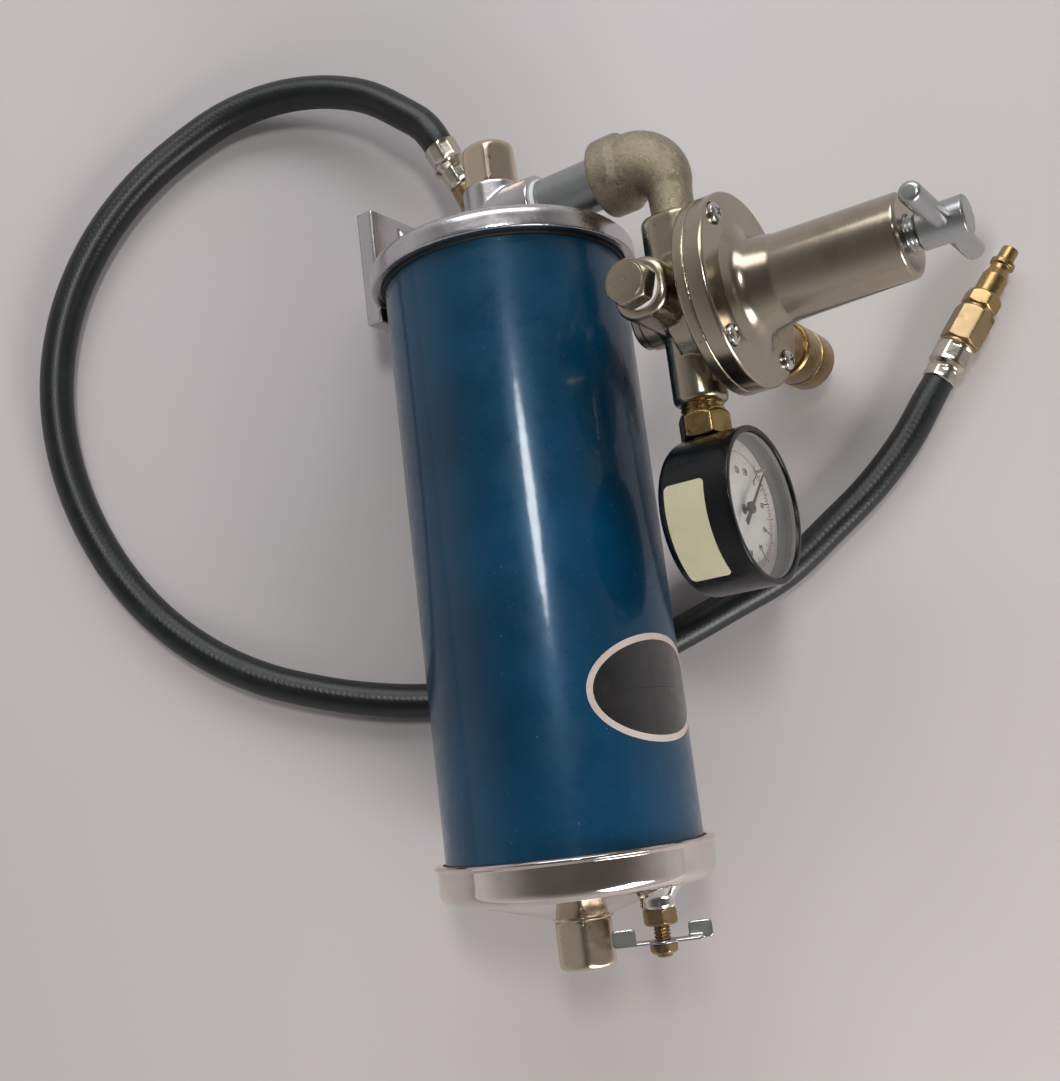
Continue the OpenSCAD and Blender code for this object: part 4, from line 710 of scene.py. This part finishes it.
plate_in, plate_top = -BRACKET_REACH + BRACKET_T, BRACKET_Z + BRACKET_H
head_parts = [
    lathe([(0, HEAD_TOP - 4), (SEAL_IN, HEAD_TOP - 4), (SEAL_IN, TUBE_H + 6), (LIP_R, TUBE_H + 6),
           (LIP_R, TUBE_H + 0.3), (SKIRT_R, TUBE_H, 0.6), (SKIRT_R, HEAD_TOP, SKIRT_ROUND), (0, HEAD_TOP)],
          160, steps=8),
    lathe([(0, HEAD_TOP - 2), (BOSS_D / 2, HEAD_TOP - 2), (BOSS_D / 2, BOSS_TOP, 0.6), (0, BOSS_TOP)]),
    placed(lathe([(0, 0), (13.5, 0), (13.5, OUTLET_REACH, 0.8), (0, OUTLET_REACH)]), axis_x(0, OUTLET_Z)),
    placed(lathe([(0, HEAD_TOP - 2), (9, HEAD_TOP - 2), (9, HEAD_TOP + 3, 1), (0, HEAD_TOP + 3)]),
           axis_z(0, INLET_X, INLET_Y)),
    box((-BRACKET_REACH, -BRACKET_W / 2, BRACKET_Z), (plate_in, BRACKET_W / 2, plate_top)),
    placed(bar([(plate_in - 1, TUBE_H), (4 - SKIRT_R, TUBE_H), (4 - SKIRT_R, HEAD_TOP - SKIRT_ROUND),
                (-35, HEAD_TOP - 1), (-35, HEAD_TOP), (plate_in - 1, plate_top - 1)], 7),
           shift(y=3.5) @ spin(90, "X")),
]
holes = [placed(rod(HOLE_D / 2, -2, 12, 48),
                axis_x(-BRACKET_REACH, BRACKET_Z + BRACKET_H / 2, side * HOLE_PITCH / 2)) for side in (-1, 1)]
add("head_casting", cut(cast(head_parts, 0.6, 4), holes), ALUMINIUM, ["head"], sharp=50)

nut_z = -PAN_H - WASHER_T
add("cap_nut_top", cap_nut(CAP_TOP_H, 6.5), NUT, ["top_cap_nut"],
    place=axis_z(BOSS_TOP, turn=CAP_TURN), sharp=60)
add("cap_nut_bottom", cap_nut(CAP_BOTTOM_H, 4), NUT, ["bottom_cap_nut"],
    place=shift(z=nut_z) @ spin(180, "X") @ spin(CAP_TURN), sharp=60)
add("cap_nut_washer", lathe([(5, 0), (11.6, 0, 0.3), (12, 0.5, 0.3), (12, WASHER_T, 0.3), (5, WASHER_T)], 96, True),
    NUT, ["bottom_washer"], place=axis_z(nut_z))


def oval(inner, outer, height):
    """Ring of the oval label, bent round the tube; inner and outer are margins from the label's edge."""
    rings = []
    for lift, shares in ((height, span(0, 1, 10)), (0.02, span(0, 1, 10)[::-1])):
        for share in shares:
            margin = outer + (inner - outer) * (1 - share)
            rings.append([polar(TUBE_R + lift, (LABEL_W / 2 - margin) * math.cos(t) / TUBE_R,
                                (LABEL_H / 2 - margin) * math.sin(t)) for t in circle(120)])
    return skin(rings, True)


LABEL_PLACE = axis_z(LABEL_Z, turn=LABEL_TURN)
add("label_border", oval(LABEL_EDGE, 0, 0.3), BORDER, ["label_plate"], place=LABEL_PLACE)
add("label_field", oval(LABEL_H / 2 - 0.1, LABEL_EDGE, 0.26), FIELD, place=LABEL_PLACE)

# ---- Drain cock ----

add("drain_hex", joined(hex_bar(DRAIN_AF, 6, 0.08, 0.08), rod(4.9, 5, 9, 48)), DULL_BRASS, ["drain_body"],
    place=axis_z(DRAIN_END, DRAIN_X, turn=10))
add("drain_thread", threaded(3.2, 1.25, WING_Z - WING_T - 2, DRAIN_TOP - 0.5, 0.55, 48), DULL_BRASS,
    ["drain_stem"], "drain_cock", axis_z(0, DRAIN_X))
wing_parts = [bar(rectangle(WING_L - 8, 6, 1), WING_T),
              lathe([(0, 0), (5.5, 0, 0.3), (5.5, WING_T, 0.3), (0, WING_T)], 48)]
for flip in (0, 180):
    wing_parts.append(placed(bar(rectangle(9, 6.5, 1.5), WING_T),
                             spin(flip) @ shift(WING_L / 2 - 4.5, 3, 3.25) @ spin(90, "X")))
add("drain_lever", cast(wing_parts, 0.28, 3), STEEL, ["drain_wing"], "drain_cock",
    axis_z(WING_Z - WING_T, DRAIN_X, turn=32), sharp=50)
add("drain_nut", joined(hex_bar(9.5, 3.6, 0.14, 0.04),
                        lathe([(0, -1.4), (2.4, -1.4), (3, -0.9), (3, 1), (0, 1)], 48)),
    DULL_BRASS, ["drain_screw"], "drain_cock",
    axis_z(WING_Z - WING_T - 3.6, DRAIN_X, turn=20))

# ---- Outlet pipe ----

pipe_l = BAND_X + BAND_L - BOSS_D / 2 + 1
add("outlet_nipple", joined(
    lathe([(7.9, 0), (NIPPLE_D / 2, 0), (NIPPLE_D / 2, pipe_l), (7.9, pipe_l)], 96, True),
    threaded(NIPPLE_D / 2 + 0.12, 1.8, 12, 16, 0.5)), ZINC, ["pipe_nipple"],
    place=axis_x(BOSS_D / 2 - 1, OUTLET_Z))


def tape(r, w):
    """A few turns of thread tape, a little uneven."""
    def radius(z, a):
        return r + 0.16 * noise.noise(Vector((math.cos(a) * 3, math.sin(a) * 3, z * 1.7)))

    return radial(span(0, w, 8), radius, circle(96))


add("tape_outlet", tape(NIPPLE_D / 2 + 0.55, 1.7), TAPE, ["thread_tape"],
    place=axis_x(OUTLET_REACH, OUTLET_Z))
add("tape_plug", tape(8.3, 2), TAPE, place=axis_y(-ARM_REACH - 2, REG_Z, PORT_X))

bend_x, bend_z = PORT_X - ELBOW_BEND, OUTLET_Z - ELBOW_BEND
bend = [Vector((bend_x + ELBOW_BEND * math.cos(a), 0, bend_z + ELBOW_BEND * math.sin(a)))
        for a in map(math.radians, range(90, -1, -5))]
bend_r = [(ELBOW_D + (ELBOW_END_D - ELBOW_D) * (i / (len(bend) - 1)) ** 1.6) / 2 for i in range(len(bend))]
leg_top = REG_Z + ARM_REACH + 3
elbow_place = axis_x(BAND_X, OUTLET_Z)
elbow_parts = [
    placed(lathe([(0, 0), (BAND_D / 2, 0, 1.4), (BAND_D / 2, BAND_L, 2.2), (0, BAND_L)]), elbow_place),
    placed(rod(ELBOW_D / 2, 0, bend_x - BAND_X + 0.3), elbow_place),
    skin(sweep(bend, bend_r, 64), caps=True),
    placed(lathe([(0, 0), (LEG_D / 2, 0), (ELBOW_END_D / 2, bend_z - leg_top + 0.3), (0, bend_z - leg_top + 0.3)]),
           axis_z(leg_top, PORT_X)),
    placed(rod(LEG_D / 2, 0, 16), axis_z(leg_top - 15, PORT_X)),
]
add("street_elbow_cast", cut(cast(elbow_parts, 0.5, 5), [
    placed(lathe([(0, -1), (NIPPLE_D / 2 + 1.2, -1), (NIPPLE_D / 2 + 0.05, 1.4), (NIPPLE_D / 2 + 0.05, 11), (0, 11)]),
           elbow_place)]), ELBOW, ["street_elbow"], sharp=50)


# ---- Regulator ----

def arm(turn, width):
    """One arm of the body, rounded at its end, turned from straight up toward the coupler."""
    side = rounded(rectangle(width - 1, width, 9), True, 8)
    rings = [[Vector((p.x, p.y, 0)) for p in side]]
    for a in map(math.radians, span(0, 90, 6)):
        inset = ARM_ROUND * (1 - math.cos(a))
        z = ARM_REACH - ARM_ROUND + ARM_ROUND * math.sin(a)
        rings.append([Vector((p.x * (1 - 2 * inset / width), p.y * (1 - 2 * inset / width), z)) for p in side])
    return placed(skin(rings, caps=True), shift(PORT_X, 0, REG_Z) @ spin(-turn, "X"))


body_parts = [arm(turn, width) for turn, width in ((0, 25), (90, 23), (180, 21), (270, 23))]
for profile, n, x in (([(0, 0), (23, 0), (23, BODY_FRONT - PORT_X), (0, BODY_FRONT - PORT_X)], 96, PORT_X),
                      ([(0, 0), (23, 0), (30, 6), (0, 6)], 96, BODY_FRONT - 6),
                      ([(0, 0), (FLANGE_D / 2, 0, 0.8), (FLANGE_D / 2, 5), (0, 5)], 160, BODY_FRONT),
                      ([(0, 0), (11, 0, 0.8), (11, 10), (0, 10)], 96, PORT_X - 17)):
    body_parts.append(placed(lathe(profile, n), axis_x(x, REG_Z)))
add("regulator_casting", cut(cast(body_parts, 0.55, 5), [
    placed(rod(COUPLER_HEX / 2 - 4, 0, 8, 64), axis_y(ARM_REACH - 6, COUPLER_Z, PORT_X))]),
    NICKEL, ["regulator_body"], sharp=50)
add("back_cap", cut(lathe([(0, 0), (9, 0, 0.6), (10, 1, 0.5), (10, 3.5), (0, 3.5)], 72),
                    [placed(hex_bar(6, 4, 0, 0, 0.1), axis_z(-1))]),
    NICKEL, ["valve_cap"], place=axis_x(PORT_X - 20.5, REG_Z))

bonnet = lathe([(0, 0), (FLANGE_D / 2, 0, 0.4), (FLANGE_D / 2, 7.5, 1.5), (25, 7.5, 2), (BONNET_D / 2 + 2, 10.5, 9),
                (BONNET_D / 2 - 0.35, 22, 10), (BONNET_END_D / 2 + 0.1, 68, 1.2), (BONNET_END_D / 2 - 1.2, 69, 0.5),
                (SCREW_D / 2 + 1.4, 69, 0.3), (SCREW_D / 2 + 0.06, 67.6), (SCREW_D / 2 + 0.06, 60), (0, 60)],
               192, steps=12)
screw_at = [polar(FLANGE_SCREW_R, math.radians(a)) for a in FLANGE_SCREW_ANGLES]
screw_spots = [placed(lathe([(0, -1.0), (4.2, -1.0, 0.2), (4.6, 1), (0, 1)], 48), shift(p.x, p.y, FLANGE_X - SEAT_X))
               for p in screw_at]
add("bonnet_shell", cut(bonnet, screw_spots), SATIN, ["bonnet"], place=axis_x(SEAT_X, REG_Z))


def pan_screw(turn):
    """Pan head with a cross recess."""
    head = lathe([(0, 0), (3.9, 0), (3.9, 2.2, 0.6), (2.6, 3.2, 1.5), (0, 3.5)], 48)
    return cut(head, [placed(box((-2.1, -0.5, 2.2), (2.1, 0.5, 4)), spin(turn + a)) for a in (0, 90)])


screws = [placed(pan_screw(20 + 17 * i), shift(p.x, p.y, -1)) for i, p in enumerate(screw_at)]
add("flange_screw_set", joined(*screws), SCREW, ["flange_screws"], place=axis_x(FLANGE_X, REG_Z))

plug_cap = lathe([(0, 6.9), (7.3, 6.9), (7.3, 7.5, 0.25), (1.1, 7.5), (0.7, 7.0), (0, 7.0)], 64)
add("port_plug_hex", joined(hex_bar(16.5, 7.3, 0.02, 0.1, 0.6), plug_cap),
    NICKEL, ["port_plug"],
    place=shift(PORT_X, -ARM_REACH - 2, REG_Z) @ spin(90, "X") @ spin(12))

hub0, hub1 = HUB_X - BONNET_END, HUB_X - BONNET_END + HUB_L
add("adjusting_thread", joined(
    threaded(SCREW_D / 2, SCREW_PITCH, -24, hub0 + 0.6, 0.75, 96),
    lathe([(0, hub0), (HUB_D / 2 - 0.5, hub0), (HUB_D / 2, hub0 + 0.6, 0.3), (HUB_D / 2, hub1 - 0.8, 0.4),
           (HUB_D / 2 - 0.9, hub1, 0.3), (0, hub1)])),
    STEEL, ["adjusting_screw"], "adjuster", axis_x(BONNET_END, REG_Z))
add("t_bar", lathe([(0, -BAR_L / 2), (BAR_D / 2, -BAR_L / 2, 3.4), (BAR_D / 2, BAR_L / 2, 3.4), (0, BAR_L / 2)], 64,
                   steps=10),
    STEEL, ["cross_bar"], "adjuster", axis_y(0, REG_Z, BAR_X))

# ---- Gauge ----

add("bushing_brass", joined(
    placed(hex_bar(BUSHING_AF, BUSHING_HEX_H, 0.06, 0.12), axis_z(0, turn=10)),
    threaded(BUSHING_D / 2 + 0.1, 1.8, BUSHING_HEX_H - 0.4, BUSHING_HEX_H + 6, 0.8)),
    BRASS, ["gauge_bushing"], place=axis_z(BUSHING_Z, PORT_X))
add("gauge_shell", lathe([
    (0, 0), (GAUGE_R, 0, 5), (GAUGE_R, GAUGE_DEPTH - 2.2, 0.3), (GAUGE_R - 0.15, GAUGE_DEPTH, 0.6),
    (GAUGE_R - 2.2, GAUGE_DEPTH, 0.6), (GAUGE_R - GAUGE_RIM, GAUGE_DEPTH - 1.2, 0.2), (GAUGE_R - GAUGE_RIM, 20.2),
    (0, 20.2)], 160, steps=8), BLACK, ["gauge_case"], place=axis_x(GAUGE_BACK, GAUGE_Z))
add("dial_wall_ring", lathe([(GAUGE_R - 2.62, DIAL_FACE), (GAUGE_R - 2.62, 7.8), (GAUGE_R - 2.75, 7.8),
                             (GAUGE_R - 2.75, DIAL_FACE)], 128, True),
    INNER, place=axis_x(DIAL_X, GAUGE_Z))
add("dial_plate", lathe([(1.5, -1), (GAUGE_R - 2.7, -1), (GAUGE_R - 2.7, DIAL_FACE, 0.1),
                         (1.5, DIAL_FACE)], 96, True),
    DIAL, ["gauge_dial"], place=axis_x(DIAL_X, GAUGE_Z))
add("dial_lens", lathe([(0, 0), (GAUGE_R - 2.8, 0, 0.1), (GAUGE_R - 2.8, 1.5, 0.3), (0, 1.5)], 96),
    LENS, ["gauge_lens"], place=axis_x(GAUGE_FRONT - 4, GAUGE_Z))

# The place of the dial's face, with the stem at its foot
DIAL_PLACE = axis_x(DIAL_X + DIAL_FACE, GAUGE_Z) @ spin(-90)


def on_dial(angle, r):
    """Point of the dial, at an angle clockwise from its top."""
    return polar(r, math.radians(90 - angle))


def scale_angles(n):
    """Angles of the n + 1 marks of a scale."""
    return [DIAL_FIRST + DIAL_SWEEP * i / n for i in range(n + 1)]


# Marks of the two scales as (angle, from, to, width), each with a printed ring
ink_ticks = [(angle, 20.2 if i % 5 else 18.5 if i % 10 else 17.6, 21.6 if i % 10 else 21.8, 0.2 if i % 10 else 0.4)
             for i, angle in enumerate(scale_angles(80))]
red_ticks = [(angle, 22.4, 23.2 if i % 5 else 24.0, 0.18 if i % 5 else 0.35)
             for i, angle in enumerate(scale_angles(55))]
for kind, look, ticks, (r0, r1, n) in (("ink", INK, ink_ticks, (1.6, 1.9, 48)),
                                       ("red", RED, red_ticks, (22.0, 22.18, 128))):
    marks = [placed(box((-w / 2, low, 0), (w / 2, high, 0.12)), spin(-angle)) for angle, low, high, w in ticks]
    marks.append(lathe([(r0, 0.01), (r0, 0.1), (r1, 0.1), (r1, 0.01)], n, True))
    add("dial_marks_" + kind, joined(*marks), look, place=DIAL_PLACE)


def figures(name, values, r, size, look):
    """Plain numbers round the dial, as meshes."""
    parts = []
    for angle, value in zip(scale_angles(len(values) - 1), values):
        text = bpy.data.curves.new("figure", "FONT")
        text.body, text.size, text.align_x, text.align_y, text.extrude = str(value), size, "CENTER", "CENTER", 0.05
        ob = bpy.data.objects.new("figure", text)
        SCENE.collection.objects.link(ob)
        part = evaluated(ob)
        bpy.data.curves.remove(text)
        parts.append(placed(part, shift(*on_dial(angle, r)) @ shift(z=0.05)))
    add(name, joined(*parts), look, place=DIAL_PLACE)


figures("dial_figures", range(0, 161, 20), 16.4, 2.9, INK)
for name, x in (("dial_screw_a", -4.9), ("dial_screw_b", 1.9)):
    add(name, cut(lathe([(0, 0), (1.4, 0), (1.4, 0.5, 0.2), (0, 0.8)], 32), [box((-2, -0.2, 0.5), (2, 0.2, 2))]),
        SCREW, place=DIAL_PLACE @ shift(x, -14.7))
add("dial_stop", lathe([(0, 0), (0.55, 0), (0.55, 4.3, 0.3), (0, 4.3)], 24), PEG,
    place=DIAL_PLACE @ shift(*on_dial(DIAL_FIRST - 3, 21.5)))
add("pointer_arm", joined(
    placed(bar([(-1.1, -9), (1.1, -9), (0.7, 0), (0.25, 20), (-0.25, 20), (-0.7, 0)], 0.5), shift(z=3.0)),
    lathe([(0, 2.2), (2.3, 2.2), (2.3, 3.7, 0.4), (1.1, 4.2), (0, 4.2)], 48),
    rod(0.8, -8, 1, 24)),
    POINTER, ["gauge_pointer"], "pointer", DIAL_PLACE @ spin(-DIAL_FIRST))


def sticker():
    """Label with rounded corners, bent round the gauge's case."""
    half_w, half_l, corner = 8, math.radians(STICKER_HALF) * GAUGE_R, 2
    straight = half_l - corner
    ends = [straight + corner * math.sin(math.radians(a)) for a in range(0, 91, 15)]
    rings = []
    for v in sorted(ends + span(-straight, straight, 36)[:-1] + [-v for v in ends[1:]]):
        deep = max(abs(v) - straight, 0)
        w = max(half_w - corner + math.sqrt(max(corner * corner - deep * deep, 0)), 0.01)
        rings.append([polar(GAUGE_R + lift, v / GAUGE_R, z)
                      for lift, z in ((0.01, -w), (0.15, -w), (0.15, w), (0.01, w))])
    return skin(rings, caps=True)


add("sticker_film", sticker(), STICKER, ["gauge_sticker"],
    place=axis_x(GAUGE_BACK + 12.5, GAUGE_Z, turn=STICKER_FROM + STICKER_HALF))

# ---- Coupler ----

s0, s1 = SLEEVE_START, SLEEVE_END
sleeve_out, sleeve_in, nose_r, mouth_r = SLEEVE_D / 2, SLEEVE_D / 2 - 1.8, NOSE_D / 2, MOUTH_D / 2
add("coupler_barrel", lathe([
    (3, COUPLER_BACK + 12), (sleeve_in - 0.1, COUPLER_BACK + 12), (sleeve_in - 0.1, s0 + 3), (8.75, s0 + 3),
    (8.75, s1 - 0.1), (nose_r, s1, 0.2), (nose_r, NOSE_Y, 0.6), (mouth_r + 0.5, NOSE_Y, 0.2),
    (mouth_r, NOSE_Y - 0.6), (mouth_r, NOSE_Y - MOUTH_L), (4.05, NOSE_Y - MOUTH_L - 1), (4.05, NOSE_Y - 29),
    (3, NOSE_Y - 29)], 96, True), DULL_BRASS, ["coupler_body"], place=COUPLER_AXIS)
add("coupler_hex", hex_bar(COUPLER_HEX, COUPLER_HEX_L, 0.06, 0.06), BRASS,
    place=COUPLER_AXIS @ axis_z(COUPLER_BACK))
add("coupler_stem", joined(rod(6.85, ARM_REACH - 8, COUPLER_BACK + 4, 64),
                           threaded(7.0, 1.4, ARM_REACH - 2, ARM_REACH + 6, 0.6)),
    BRASS, ["coupler_nipple"], place=COUPLER_AXIS)
groove, groove_r = s1 - 17, sleeve_out - 0.9
add("coupler_sleeve_turned", lathe([
    (sleeve_in, s0), (sleeve_out - 0.9, s0, 0.3), (sleeve_out, s0 + 1, 0.4), (sleeve_out, groove - 0.2, 0.2),
    (groove_r, groove + 0.1, 0.2), (groove_r, groove + 1, 0.2), (sleeve_out, groove + 1.3, 0.2),
    (sleeve_out, s1 - 2.6, 1.2), (sleeve_out - 1.6, s1, 0.4), (nose_r + 0.06, s1, 0.3), (nose_r - 0.1, s1 - 1),
    (nose_r - 0.3, NOSE_Y - 4.5), (8.85, NOSE_Y - 4.5), (8.85, s0 + 16), (sleeve_in, s0 + 16)],
    128, True), SLEEVE, ["coupler_sleeve"], "sleeve", COUPLER_AXIS)

# ---- Inlet fitting ----

knee_place = shift(*KNEE) @ Matrix.Rotation(LEAN_TO, 4, "Z") @ Matrix.Rotation(LEAN, 4, "Y")
add("inlet_fitting", cast([
    placed(lathe([(0, 0), (5.9, 0), (5.9, 4), (INLET_D / 2, 4.4), (INLET_D / 2, KNEE_H), (0, KNEE_H)], 64),
           axis_z(HEAD_TOP, INLET_X, INLET_Y)),
    placed(lathe([(0, -6.6), (3.6, -6), (6.6, -1), (6.6, 3), (INLET_D / 2, 4), (INLET_D / 2, FITTING_L, 0.4),
                  (0, FITTING_L)], 64, steps=4), knee_place)],
    0.4, 3), DULL_BRASS, ["inlet_elbow"], sharp=50)
add("inlet_ferrule_crimped", crimped(
    [(0, 5), (0.6, 5.7), (1.5, 6.3), (9.2, 6.8), (10.4, 7.6), (11.3, 8.4), (12.4, 8.5), (13.3, 7.6), (14.2, 7.5),
     (FERRULE_L - 0.5, ferrule_r), (FERRULE_L, ferrule_r - 0.5)],
    [(1.6, 9.6, 0.35), (13.6, FERRULE_L - 0.6, 0.4)], turn=0.3), FERRULE, ["inlet_ferrule"],
    place=knee_place @ axis_z(FITTING_L))

# ---- CAD solids that show or lie inside ----

FINISH = {"rod_steel": INNER_STEEL, "filter_media": FILTER, "brass": BRASS, "gasket_rubber": RUBBER,
          "regulator_nickel": NICKEL, "handle_steel": STEEL}
slots = {part["node"]: part["material_slot"] for part in frame["record"]["subparts"]}
for node, ob in frame["nodes"].items():
    if ob.hide_render:
        continue
    ob.data.materials.clear()
    ob.data.materials.append(FINISH[slots[node]])

# ---- Floor, light and background ----

def floor_look():
    look = Look("floor_pale", Roughness=0.62)
    cloud = look.noise(2.4, 3, 0.5, distort=0.4)
    band = look.noise(0.9, 2, 0.5)
    colour = look.mix(look.range(cloud, 0.35, 0.65), rgb(192, 188, 187), rgb(197, 191, 196))
    colour = look.mix(look.range(band, 0.4, 0.6), colour, rgb(193, 188, 187))
    return look.finish(Base_Color=colour, Normal=look.bump(look.noise(220, 4, 0.6), 0.00002))


FLOOR_R, FLOOR_T = 1.5, 0.02
mesh = bpy.data.meshes.new("floor")
bm = rod(FLOOR_R, -FLOOR_T, 0, 128)
bm.to_mesh(mesh)
bm.free()
mesh.materials.append(floor_look())
floor = bpy.data.objects.new("floor", mesh)
SCENE.collection.objects.link(floor)


def lamp(name, at, to, size, power, colour, shape="RECTANGLE"):
    """Area lamp that faces a point. Places and sizes are in metres, its power in watts."""
    light = bpy.data.lights.new(name, "AREA")
    light.shape, light.size, light.size_y = shape, size[0], size[1]
    light.energy, light.color = power, colour
    ob = bpy.data.objects.new(name, light)
    SCENE.collection.objects.link(ob)
    ob.location = at
    ob.rotation_euler = (Vector(to) - Vector(at)).to_track_quat("-Z", "Y").to_euler()


lamp("key", (-0.06, 0.385, 1.5), to=(0, 0.1, 0), size=(0.19, 0.34), power=5.5, colour=(1.0, 0.985, 0.97),
     shape="ELLIPSE")
lamp("window", (-0.1, 1.35, 1.1), to=(0, 0, 0.03), size=(1.7, 0.8), power=15, colour=(0.99, 0.985, 1.0))
lamp("door", (0.75, -1.1, 0.8), to=(0, 0, 0.03), size=(0.9, 0.6), power=16, colour=(1.0, 0.97, 0.965))

# A plain sky, pale at the horizon and darker overhead
world = bpy.data.worlds.new("world")
SCENE.world = world
world.use_nodes = True
tree = world.node_tree
tree.nodes.clear()
coords = tree.nodes.new("ShaderNodeTexCoord")
split = tree.nodes.new("ShaderNodeSeparateXYZ")
tree.links.new(coords.outputs["Generated"], split.inputs[0])
ramp = tree.nodes.new("ShaderNodeValToRGB")
ramp.color_ramp.interpolation = "EASE"
low, high = ramp.color_ramp.elements
low.position, low.color = 0.0, (0.55, 0.53, 0.53, 1)
high.position, high.color = 0.9, (0.10, 0.095, 0.09, 1)
tree.links.new(split.outputs["Z"], ramp.inputs[0])
sky = tree.nodes.new("ShaderNodeBackground")
tree.links.new(ramp.outputs[0], sky.inputs["Color"])
out = tree.nodes.new("ShaderNodeOutputWorld")
tree.links.new(sky.outputs[0], out.inputs[0])

SCENE.view_settings.view_transform = "Standard"
